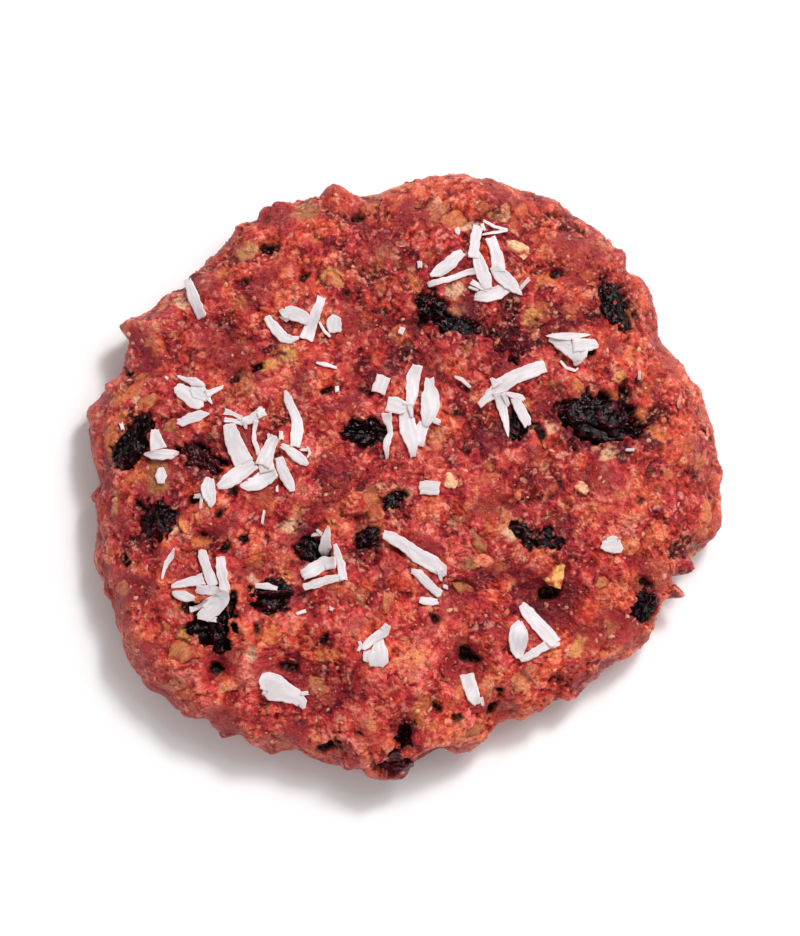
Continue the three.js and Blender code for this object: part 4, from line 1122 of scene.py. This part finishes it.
# %% [markdown]
# ## Coconut strips
# Coconut is shaved into stiff white strips: flat, a millimetre or two wide, with straight
# sides, kinks, and blunt or pointed ends. The shape of each one matters, so each is told by a
# spine: pixels of the photo with the strip's width there. A ray from the camera through a pixel
# finds the spot on the skin. Pieces that touch are given together, as the heaps of the photo.
# %% Coconut spines
COCONUT_PX = {
    "left_rim": [[(187, 279, 0.9), (193, 297, 1.45), (202, 318, 1.2)]],
    "upper_left": [
        [(266, 317, 1.0), (274, 328, 1.35), (284, 338, 1.4), (291, 340, 1.0), (299, 338, 0.4)],
        [(279, 310, 0.2), (284, 313, 1.2), (290, 313, 1.9), (300, 316, 1.7), (310, 322, 1.3)],
        [(280, 317, 0.2), (288, 321, 0.5)],
        [(322, 297, 1.15), (316, 313, 1.4), (311, 326, 1.5), (306, 340, 1.9)],
        [(319, 322, 0.3), (324, 331, 0.4), (330, 337, 0.35)],
        [(334, 315, 0.5), (334, 319, 1.8), (334, 326, 2.1), (335, 333, 1.5)],
        [(398, 330, 0.8), (404, 332, 1.0)],
    ],
    "top_heap": [
        [(474, 297, 0.9), (480, 297, 1.4), (490, 296, 1.7), (500, 292, 1.8), (510, 289, 0.8)],
        [(471, 282, 0.7), (480, 287, 0.7), (487, 291, 0.5)],
        [(468, 287, 0.3), (478, 291, 0.3)],
        [(476, 252, 0.9), (479, 262, 1.6), (481, 270, 1.8), (485, 280, 1.8), (488, 290, 0.9)],
        [(478, 226, 1.4), (475, 240, 1.35), (473, 258, 1.4)],
        [(482, 224, 0.5), (484, 231, 0.5)],
        [(490, 238, 1.5), (495, 250, 1.4), (498, 262, 1.9), (498, 272, 1.9)],
        [(494, 266, 1.5), (500, 275, 1.9), (509, 284, 1.9), (516, 290, 1.2), (522, 295, 0.2)],
        [(483, 221, 0.4), (494, 227, 0.4), (507, 231, 0.5)],
        [(482, 235, 0.3), (495, 233, 0.4), (507, 231, 0.4)],
        [(463, 253, 0.9), (457, 256, 1.5), (447, 266, 1.75), (438, 272, 1.5), (430, 276, 0.4)],
        [(476, 271, 0.9), (466, 273, 0.8), (450, 279, 0.75), (438, 282, 0.8), (428, 285, 0.8)],
        [(459, 228, 0.4), (457, 231, 0.8), (459, 235, 0.3)],
        [(520, 289, 0.5), (529, 279, 0.5)],
        [(419, 261, 0.6), (420, 268, 0.6)],
    ],
    "right_flake": [
        [(576, 342, 2.3), (580, 353, 2.2), (575, 366, 0.5)],
        [(550, 337, 1.0), (562, 344, 2.0), (572, 352, 2.0), (577, 362, 0.8)],
        [(572, 346, 1.8), (584, 346, 1.6), (593, 345, 1.5), (598, 347, 0.5)],
        [(546, 336, 0.2), (556, 337, 0.9), (572, 337, 1.1), (590, 335, 0.2)],
        [(560, 361, 0.35), (566, 368, 0.45), (575, 371, 0.35), (578, 368, 0.2)],
    ],
    "centre_right": [
        [(545, 366, 1.6), (530, 372, 1.9), (515, 377, 1.8), (502, 385, 2.1), (491, 395, 1.6),
         (485, 400, 1.0), (479, 406, 0.9)],
        [(491, 379, 0.3), (497, 386, 1.5)],
        [(499, 392, 1.9), (501, 402, 1.5), (503, 412, 1.2), (506, 424, 0.8), (508, 437, 0.2)],
        [(503, 394, 0.8), (509, 406, 0.5)],
        [(506, 394, 0.5), (513, 396, 0.8), (521, 397, 0.7), (524, 401, 0.5)],
        [(514, 398, 1.1), (519, 409, 1.4), (524, 419, 1.45), (527, 427, 1.0)],
    ],
    "centre_heap": [
        [(386, 414, 1.2), (387, 420, 1.2), (389, 426, 0.7), (390, 434, 0.75), (387, 441, 0.95),
         (386, 447, 0.8), (387, 459, 0.3)],
        [(424, 424, 1.4), (418, 436, 2.1), (418, 446, 1.5)],
        [(408, 404, 1.3), (406, 418, 2.0), (409, 432, 2.4), (412, 444, 1.6), (413, 457, 0.7)],
        [(387, 404, 2.0), (397, 406, 2.2), (406, 408, 1.5)],
        [(429, 378, 1.15), (429, 387, 1.4), (430, 393, 2.2), (430, 405, 2.5), (428, 416, 2.1),
         (424, 427, 0.8)],
        [(433, 420, 0.8), (440, 423, 0.7)],
        [(417, 366, 1.35), (413, 378, 1.8), (412, 390, 1.75), (411, 400, 1.4), (410, 406, 0.8),
         (411, 418, 0.3)],
        [(384, 376, 1.9), (378, 393, 1.95)],
        [(454, 377, 0.3), (462, 380, 0.5), (470, 388, 0.35)],
    ],
    "left_pair": [
        [(175, 388, 1.2), (180, 390, 1.8), (188, 396, 2.0), (196, 402, 2.2), (201, 408, 0.9)],
        [(191, 386, 1.0), (198, 392, 2.2), (204, 396, 1.6), (211, 393, 0.7)],
        [(177, 376, 0.3), (186, 380, 0.6), (194, 382, 1.2), (205, 386, 0.4)],
        [(206, 395, 0.8), (214, 391, 0.7), (223, 387, 0.4)],
        [(208, 398, 0.7), (212, 404, 0.2)],
        [(177, 422, 0.7), (182, 422, 1.2), (192, 418, 1.5), (201, 415, 1.3), (209, 414, 0.15)],
        [(165, 377, 0.3), (168, 379, 0.3)],
    ],
    "left_edge": [
        [(155, 430, 1.1), (156, 440, 1.7), (159, 450, 2.3)],
        [(144, 455, 0.3), (152, 455, 1.1), (162, 455, 1.4), (171, 454, 1.3), (179, 454, 0.3)],
        [(161, 468, 0.7), (161, 476, 1.6), (161, 484, 0.8)],
        [(121, 423, 0.5), (123, 430, 0.5)],
    ],
    "left_heap": [
        [(224, 412, 0.9), (233, 414, 0.5), (242, 419, 0.7)],
        [(224, 420, 0.7), (233, 421, 0.5), (243, 423, 0.8)],
        [(242, 422, 1.1), (252, 419, 1.2), (260, 413, 1.3), (262, 408, 0.8)],
        [(257, 416, 0.9), (266, 414, 0.5)],
        [(244, 421, 0.9), (246, 429, 0.3)],
        [(256, 421, 0.7), (254, 432, 0.5), (254, 441, 0.6), (257, 448, 0.6), (258, 456, 0.4)],
        [(240, 486, 0.4), (248, 486, 1.5), (257, 483, 2.0), (266, 477, 2.2), (276, 473, 1.2)],
        [(264, 458, 1.8), (267, 472, 2.0)],
        [(281, 431, 0.5), (281, 440, 0.6)],
        [(268, 434, 0.3), (271, 441, 1.0)],
        [(276, 437, 1.4), (270, 446, 1.6), (266, 456, 1.9), (262, 466, 2.0)],
        [(217, 487, 0.7), (224, 484, 1.7), (233, 478, 2.1), (243, 471, 2.0), (254, 463, 1.8)],
        [(229, 424, 1.5), (232, 437, 2.2), (237, 450, 2.4), (244, 464, 2.6)],
    ],
    "left_heap_right": [
        [(285, 391, 0.4), (288, 400, 1.2), (293, 411, 1.3), (297, 422, 1.4), (297, 432, 1.7),
         (295, 447, 1.3)],
        [(281, 445, 0.7), (288, 449, 1.0), (296, 456, 1.4), (303, 461, 1.3), (308, 465, 0.5)],
        [(279, 457, 0.95), (281, 466, 1.4), (285, 476, 1.45), (290, 485, 1.3), (293, 492, 0.6)],
        [(300, 450, 0.3), (307, 450, 0.35)],
        [(307, 447, 0.3), (310, 453, 0.35), (307, 458, 0.25)],
    ],
    "left_leaf": [
        [(210, 478, 1.1), (208, 487, 1.9), (209, 495, 1.85), (211, 502, 1.2), (210, 508, 0.3)],
        [(202, 497, 0.5), (200, 509, 0.25)],
        [(194, 497, 0.6), (201, 496, 0.6)],
        [(277, 486, 0.3), (277, 492, 0.35)],
        [(264, 511, 0.35), (262, 524, 0.35)],
        [(316, 363, 0.3), (326, 365, 0.6), (337, 368, 0.3)],
        [(337, 386, 0.5), (337, 392, 0.5)],
    ],
    "lower_left": [
        [(196, 590, 1.1), (206, 590, 1.2), (220, 592, 1.3)],
        [(190, 610, 0.8), (198, 608, 0.6), (212, 601, 1.0)],
        [(206, 620, 0.7), (216, 621, 0.6)],
        [(224, 590, 1.4), (221, 600, 2.2), (214, 608, 2.3), (206, 615, 2.1), (197, 618, 0.6)],
        [(171, 587, 0.4), (178, 585, 0.9), (190, 582, 1.2), (204, 579, 1.6)],
        [(220, 557, 1.2), (221, 567, 1.4), (223, 580, 1.2), (225, 591, 1.4)],
        [(202, 550, 0.9), (203, 557, 1.3), (206, 566, 1.2), (210, 578, 1.5), (214, 586, 1.3)],
        [(172, 593, 0.4), (179, 595, 1.25), (187, 597, 1.3), (195, 599, 0.5)],
        [(174, 549, 0.2), (171, 557, 0.8), (167, 563, 0.7), (164, 570, 0.4), (162, 579, 0.35)],
        [(255, 586, 0.6), (266, 587, 0.9), (277, 590, 0.5)],
    ],
    "lower_middle": [
        [(328, 526, 0.2), (327, 533, 0.9), (325, 542, 1.4), (324, 551, 1.6), (325, 557, 0.7)],
        [(302, 576, 1.3), (311, 571, 1.9), (323, 565, 1.85), (335, 563, 1.6)],
        [(303, 587, 0.9), (313, 585, 1.15), (327, 580, 1.2), (341, 578, 0.8)],
        [(335, 544, 0.5), (337, 553, 0.9), (341, 565, 1.1), (343, 580, 1.1)],
        [(312, 535, 0.45), (322, 534, 0.5)],
        [(317, 530, 0.35), (321, 534, 0.35)],
        [(296, 614, 0.4), (306, 611, 0.5)],
        [(329, 608, 0.5), (333, 610, 0.45)],
    ],
    "bottom_left": [
        [(259, 685, 0.9), (266, 683, 3.0), (275, 688, 3.6), (285, 692, 2.7), (295, 697, 2.1),
         (302, 703, 1.3), (304, 709, 0.4)],
        [(301, 694, 0.6), (308, 693, 0.5)],
    ],
    "bottom_middle": [
        [(363, 656, 1.2), (372, 657, 1.8)],
        [(380, 637, 0.9), (379, 645, 1.5), (379, 653, 2.4), (377, 661, 2.9), (376, 667, 1.7)],
        [(388, 625, 0.9), (384, 632, 1.3), (374, 638, 1.2), (366, 645, 1.1), (363, 650, 0.5)],
        [(359, 641, 0.4), (361, 646, 0.5), (358, 651, 0.4)],
    ],
    "lower_right": [
        [(383, 534, 1.0), (392, 538, 1.5), (405, 546, 1.6), (418, 556, 1.95), (431, 563, 2.1),
         (441, 570, 1.7), (444, 576, 0.6)],
        [(439, 570, 1.0), (441, 581, 0.3)],
        [(411, 571, 0.6), (419, 574, 1.2), (430, 586, 1.25), (441, 595, 1.1)],
        [(419, 600, 0.8), (424, 601, 1.05), (432, 602, 1.05), (438, 602, 0.7)],
        [(443, 586, 0.5), (448, 588, 0.5)],
        [(419, 488, 1.7), (430, 488, 1.9), (439, 489, 1.8)],
    ],
    "bottom_right": [
        [(466, 674, 1.95), (470, 687, 1.9), (474, 698, 1.7), (476, 705, 0.9)],
        [(480, 698, 0.7), (483, 706, 0.4)],
        [(558, 642, 1.1), (545, 646, 1.2), (534, 653, 1.2), (525, 658, 0.9), (520, 661, 0.4)],
        [(521, 604, 0.9), (526, 611, 1.7), (537, 624, 1.9), (549, 637, 2.0), (556, 644, 1.5)],
        [(520, 621, 0.7), (518, 629, 2.3), (518, 640, 2.65), (518, 650, 2.0), (519, 659, 0.7)],
        [(601, 545, 0.9), (606, 546, 1.7), (612, 545, 2.4), (618, 546, 2.0), (621, 545, 1.2)],
        [(639, 372, 0.35), (639, 380, 0.4)],
        [(626, 450, 0.4), (634, 450, 0.4)],
    ],
}  # every spine is a list of pixel column, pixel row, and the width there in millimetres
COCONUT_SPINES = [spine for heap in COCONUT_PX.values() for spine in heap]
LENS = target + away * CAMERA_DISTANCE


def seen_at(column, row):
    """The spot on the skin, in millimetres, that the photo shows at a pixel."""
    spot = target + right * (column - FRAME_MIDDLE_PX[0]) / PIXELS_PER_MM
    spot += up * (FRAME_MIDDLE_PX[1] - row) / PIXELS_PER_MM
    hit = ground_trees[0].ray_cast(LENS, spot - LENS)[0]
    return (hit or spot)[:2]


coconut_places = [np.array([seen_at(*stop[:2]) for stop in spine]) for spine in COCONUT_SPINES]
coconut_widths = [np.array([stop[2] for stop in spine]) for spine in COCONUT_SPINES]
print("coconut strips:", len(COCONUT_SPINES))

# %% [markdown]
# ## Strips as meshes
# A strip is a thin slab over its spine. Its height follows the highest crumbs under it in a gentle
# curve, since coconut is too stiff to follow every hollow or to hang down at the rim, and a strip
# that crosses an earlier one lies on it. The cut rim is thin and moist: it is painted pinker and
# lighter, partly the dough's juice on it and partly painted light, the dough's pink glowing through
# the thin edge.
# %% Lay the strips
STRIP_THICK = 0.4
STRIP_STEP = 0.2
STRIP_ACROSS = 8
STRIP_RIM = 0.17
STRIP_OVERLAP = 0.24
STRIP_STEEPEST = 0.9
STRIP_CLEARANCE = 0.12
STRIP_REACH = 9
COCONUT_WHITE = colour(222, 215, 217)
COCONUT_SHADE = colour(208, 199, 202)
COCONUT_RIM = colour(236, 206, 203)
ABOVE = 40.0
DOWN = Vector((0, 0, -1))


def height_at(x, y, laid):
    """Height of the skin or of a berry, or of a strip that already lies there."""
    hits = [(tree.ray_cast(Vector((x, y, ABOVE)), DOWN)[0], sunk) for tree, sunk in laid]
    return max([hit.z - sunk for hit, sunk in hits if hit is not None], default=0.0)


def strip_grid(places, widths, seed):
    """Ways along the spine, and for each way and each column across, the point's x and y."""
    way = np.concatenate([[0], np.cumsum(np.linalg.norm(np.diff(places, axis=0), axis=1))])
    even = np.linspace(0, way[-1], max(5, round(way[-1] / STRIP_STEP)) + 1)
    s = np.unique(np.concatenate([even, way]).round(2))
    spine = np.stack([np.interp(s, way, places[:, k]) for k in range(2)], -1)
    along = np.gradient(spine, s, axis=0)
    along /= np.linalg.norm(along, axis=1, keepdims=True)
    aside = np.stack([-along[:, 1], along[:, 0]], -1)
    columns = np.linspace(-1, 1, STRIP_ACROSS + 1)
    torn = np.array([
        [noise.noise(Vector((t * 1.6, side * 3.1, seed * 2.7))) for side in (-1, 1)] for t in s
    ])
    half = np.interp(s, way, widths)[:, None] / 2
    half = half + 0.22 * torn * np.minimum(half, 0.6)
    half = np.where(columns >= 0, half[:, 1:], half[:, :1])
    inner = np.maximum(half - STRIP_RIM, 0.55 * half) * np.abs(columns) / (1 - 2 / STRIP_ACROSS)
    across = np.where(np.abs(columns) > 0.99, half, inner) * np.sign(columns)
    ahead = np.zeros_like(across)
    for end, sign in ((0, -1), (-1, 1)):
        rag = np.array([noise.noise(Vector((c * 1.7, seed * 1.3, sign * 4.5))) for c in columns])
        ahead[end] += sign * 0.2 * rag
    grid = spine[:, None] + along[:, None] * ahead[..., None] + aside[:, None] * across[..., None]
    return s, columns, grid


def strip_mesh(places, widths, laid, seed):
    """Corners, faces and colours of one strip, laid over what is under it."""
    s, columns, grid = strip_grid(places, widths, seed)
    ground = np.array([[height_at(x, y, laid) for x, y in line] for line in grid])
    spine = np.percentile(ground, 75, axis=1)
    spine = np.maximum(spine, spine.max() - STRIP_STEEPEST * s[-1])
    curve = np.polynomial.Polynomial.fit(s, spine, 3 if s[-1] > 3 else 1)(s)
    tilt = np.polyfit(columns, (ground - spine[:, None]).mean(axis=0), 1)[0] * 0.5
    lift = np.percentile(spine - curve, 85)
    cup = 0.06 * widths.max() * columns ** 2 * noise.noise(Vector((seed * 0.77, 1.5, 2.5)))
    lines = columns * widths.max() * 2.4
    fibre = np.array([[noise.noise(Vector((t * 0.5, c, seed * 3.3))) for c in lines] for t in s])
    top = (curve + lift)[:, None] + tilt * columns + cup + 0.03 * fibre + STRIP_THICK * 0.75
    top = np.maximum(top, ground + STRIP_CLEARANCE)  # no crumb pokes through
    upper = np.concatenate([grid, top[..., None]], axis=2).reshape(-1, 3)
    lower = upper - [0, 0, STRIP_THICK]
    rows, across = top.shape
    count = rows * across
    faces = []
    for i in range(rows - 1):
        for j in range(across - 1):
            a = i * across + j
            faces.append((a, a + across, a + across + 1, a + 1))
            faces.append((a + count, a + count + 1, a + count + across + 1, a + count + across))
        a, b = i * across, (i + 1) * across
        faces.append((a, a + count, b + count, b))
        a, b = a + across - 1, b + across - 1
        faces.append((a, b, b + count, a + count))
    for j in range(across - 1):
        a = (rows - 1) * across + j
        faces.append((j, j + 1, j + 1 + count, j + count))
        faces.append((a, a + count, a + 1 + count, a + 1))
    # A pinker, lighter rim: partly the dough's juice, partly painted light from the dough's pink
    # glowing through the thin edge.
    rim = np.zeros(top.shape)
    rim[:, [0, -1]] = rim[[0, -1]] = 1
    shade = smoothstep(-0.25, 0.35, np.tile(fibre.ravel(), 2))
    tint = mixed(np.tile(COCONUT_SHADE, (2 * count, 1)), COCONUT_WHITE, shade)
    return np.concatenate([upper, lower]), faces, mixed(tint, COCONUT_RIM, np.tile(rim.ravel(), 2))


coconut_finish = food_finish(
    "shaved_coconut", (0.4, 0.55), 0.5, 0.02, 0.03, under=0.2, gloss=0.35,
)
laid_trees, strip_corners, strip_faces, strip_paints = [], [], [], []
for number, (places, widths) in enumerate(zip(coconut_places, coconut_widths)):
    middle_place = places.mean(axis=0)
    laid = [(tree, 0) for tree in ground_trees]
    for tree, at in laid_trees:
        if np.linalg.norm(at - middle_place) < STRIP_REACH:
            laid.append((tree, STRIP_OVERLAP))
    corners, faces, tint = strip_mesh(places, widths, laid, number + 1)
    laid_trees.append((BVHTree.FromPolygons(corners.tolist(), faces), middle_place))
    offset = sum(len(c) for c in strip_corners)
    strip_corners.append(corners)
    strip_faces += [tuple(corner + offset for corner in face) for face in faces]
    strip_paints.append(tint)
coconut_corners = np.concatenate(strip_corners)
coconut_tints = np.concatenate(strip_paints)
coconut = mesh_object(
    "coconut_strips", coconut_corners, strip_faces, coconut_tints, coconut_finish,
)
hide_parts("dough")

# %% [markdown]
# ## Ground for the crumbs
# Loose crumbs lie anywhere on top of the dough, but none lies under a strip, on a nut chip or
# in a pit, and few lie on the steep flank. Every face gets a weight by its area and by these
# rules, from which the scatter draws. The berries are a second ground, for bits of dough.
# %% Ground for the crumbs
CLEAR_OF_STRIPS = 0.35
LOWEST_CRUMB = 1.2


def ground_faces(corners, faces, paints):
    """Middle, outward direction, area and paint of every face of a mesh."""
    points = corners[faces]
    normal = np.cross(points[:, 1] - points[:, 0], points[:, 2] - points[:, 0])
    area = np.linalg.norm(normal, axis=1) / 2
    normal = normal / np.maximum(2 * area, 1e-9)[:, None]
    middle = points.mean(axis=1)
    return {"middle": middle, "normal": normal, "area": area, "paint": paints[faces].mean(axis=1)}


def beside_strips(points):
    """Which points, seen from above, lie clear of every coconut strip."""
    clear = np.ones(len(points), dtype=bool)
    for places, widths in zip(coconut_places, coconut_widths):
        for start, end, wide in zip(places, places[1:], np.maximum(widths[:-1], widths[1:])):
            ahead = (end - start) / (end - start).dot(end - start)
            share = np.clip((points[:, :2] - start) @ ahead, 0, 1)
            offset = points[:, :2] - start - share[:, None] * (end - start)
            clear &= (offset ** 2).sum(axis=1) > (wide / 2 + CLEAR_OF_STRIPS) ** 2
    return clear


skin_array = np.asarray(skin_faces)
on_skin = ground_faces(skin, skin_array, paint)
free = beside_strips(on_skin["middle"]) & (on_skin["middle"][:, 2] > LOWEST_CRUMB)
free &= np.maximum(berry_bed, nut_bed)[skin_array].max(axis=1) < 0.05
free &= pits[skin_array].min(axis=1) > -0.1
on_skin["area"] *= free * smoothstep(0.3, 0.85, on_skin["normal"][:, 2])
print("free skin faces:", round(float(free.mean()), 2))

berry_starts = len(ball_directions) * np.arange(len(berry_corners))
berry_array = np.concatenate([np.asarray(ball_faces) + start for start in berry_starts])
on_berries = ground_faces(np.concatenate(berry_corners), berry_array, np.concatenate(berry_tints))
on_berries["area"] *= beside_strips(on_berries["middle"])
on_berries["area"] *= smoothstep(0.6, 0.9, on_berries["normal"][:, 2])

# %% [markdown]
# ## Scatter small cut shapes
# Thousands of separate objects would be slow, so each kind is one joined mesh made from arrays.
# Every piece is a small ball cut by planes, turned at random and more than half sunk. It takes
# over some of the paint it lies in, so that it reads as part of the mash.
# %% Scatter small cut shapes
OCTAHEDRON = ((1, 0, 0), (-1, 0, 0), (0, 1, 0), (0, -1, 0), (0, 0, 1), (0, 0, -1))
OCTAHEDRON_FACES = [
    (0, 2, 4), (2, 1, 4), (1, 3, 4), (3, 0, 4), (2, 0, 5), (1, 2, 5), (3, 1, 5), (0, 3, 5),
]
CRUMB_PLANES = 6


def small_ball(levels):
    """Directions and faces of an eight-sided ball, each face split in four per level."""
    points = [Vector(point) for point in OCTAHEDRON]
    faces = OCTAHEDRON_FACES
    for _ in range(levels):
        halves, finer = {}, []

        def half(a, b):
            key = (min(a, b), max(a, b))
            if key not in halves:
                points.append((points[a] + points[b]).normalized())
                halves[key] = len(points) - 1
            return halves[key]

        for a, b, c in faces:
            ab, bc, ca = half(a, b), half(b, c), half(c, a)
            finer += [(a, ab, ca), (ab, b, bc), (ca, bc, c), (ab, bc, ca)]
        faces = finer
    return np.array(points), np.array(faces)


def random_turns(count, dice, lean):
    """Random rotations: lean 0 keeps Z up, 1 turns freely."""
    helper = np.array([0.0, 0.0, 1.0]) + lean * dice.normal(size=(count, 3))
    z = helper / np.linalg.norm(helper, axis=1, keepdims=True)
    x = np.cross(dice.normal(size=(count, 3)), z)
    x /= np.linalg.norm(x, axis=1, keepdims=True)
    return np.stack([x, np.cross(z, x), z], axis=1)


def scatter(
    name, count, sizes, shape, tints, blend, finish, seed,
    weight=1, sunk=0.6, lean=0.5, levels=1, ground=on_skin,
):
    """One mesh of many cut shapes. blend is how much of the ground's paint each takes over."""
    dice = np.random.default_rng(seed)
    share = ground["area"] * weight
    chosen = dice.choice(len(share), size=count, p=share / share.sum())
    directions, faces = small_ball(levels)
    radii = cut_radii(directions, count, CRUMB_PLANES, seed + 1, swell=0.5)
    size = between(sizes, dice.random(count) ** 2.5) / 2
    local = directions[None] * radii[:, :, None] * np.asarray(shape) * size[:, None, None]
    local = local @ random_turns(count, dice, lean)
    normal = ground["normal"][chosen]
    side = np.cross(normal, [0.31, 0.95, 0.02])
    side /= np.linalg.norm(side, axis=1, keepdims=True)
    basis = np.stack([side, np.cross(normal, side), normal], axis=1)
    local = local @ basis
    thick = size * min(shape)
    middle = ground["middle"][chosen] + normal * (thick * (1 - 2 * sunk))[:, None]
    corners = (middle[:, None] + local).reshape(-1, 3)
    picked = np.asarray(tints)[dice.choice(len(tints), size=count)]
    picked = mixed(picked, ground["paint"][chosen], np.full(count, blend))
    picked *= dice.uniform(0.8, 1.2, size=(count, 1))
    # Painted light and shade: each piece is lighter on its top and darker underneath.
    lift = 0.86 + 0.2 * ((local * normal[:, None]).sum(axis=2) / np.maximum(thick[:, None], 1e-6))
    tint = (picked[:, None] * np.clip(lift, 0.6, 1.25)[:, :, None]).reshape(-1, 3)
    all_faces = (faces[None] + (np.arange(count) * len(directions))[:, None, None]).reshape(-1, 3)
    piece = mesh_object(name, corners, all_faces, tint, finish)
    return piece


print("a crumb has", len(small_ball(1)[1]), "faces")

# %% [markdown]
# ## Loose crumbs and grains
# Small pieces catch the light on the real cookie: red and orange crumbs of dough, pale grains
# and ground nuts, thin oat flakes that lie flat, and bits of dark dough on the berries. The
# orange ones gather in the bright patches of the dough.
# %% Loose crumbs and grains
grain_finish = food_finish("pale_grain", (0.35, 0.55), 0.25, 0.03, 0.1, under=0.35, gloss=0.35)
SHARE = 1
warm_spots = smoothstep(0.45, 0.7, patches[skin_array[:, 0]])
red_tints = [RED_SCALE[2], RED_SCALE[3], RED_SCALE[3], RED_SCALE[4]]
orange_tints = [ORANGE_SCALE[3], ORANGE_SCALE[4], ORANGE_SCALE[3], TAN]
pale_tints = [PALE, colour(236, 196, 154), colour(222, 150, 122), TAN]
oat_tints = [TAN, ORANGE_SCALE[4], PALE]
dark_tints = [RED_SCALE[0], RED_SCALE[1], RED_SCALE[2]]
scatter(
    "red_crumbs", int(420 * SHARE), (0.5, 1.5), (1, 0.8, 0.45), red_tints, 0.8,
    dough_finish, 11, sunk=0.72,
)
scatter(
    "orange_crumbs", int(220 * SHARE), (0.5, 1.9), (1, 0.75, 0.35), orange_tints, 0.6,
    dough_finish, 12, weight=0.25 + warm_spots, sunk=0.7,
)
scatter(
    "pale_grains", int(1000 * SHARE), (0.3, 1.05), (1, 0.75, 0.5), pale_tints, 0.5,
    grain_finish, 13, sunk=0.68,
)
scatter(
    "oat_flakes", int(80 * SHARE), (1.0, 2.6), (1, 0.7, 0.16), oat_tints, 0.55,
    dough_finish, 14, sunk=0.55, lean=0.25, levels=2,
)
scatter(
    "berry_bits", int(90 * SHARE), (0.4, 1.5), (1, 0.7, 0.4), dark_tints, 0.45,
    dough_finish, 15, sunk=0.7, ground=on_berries,
)
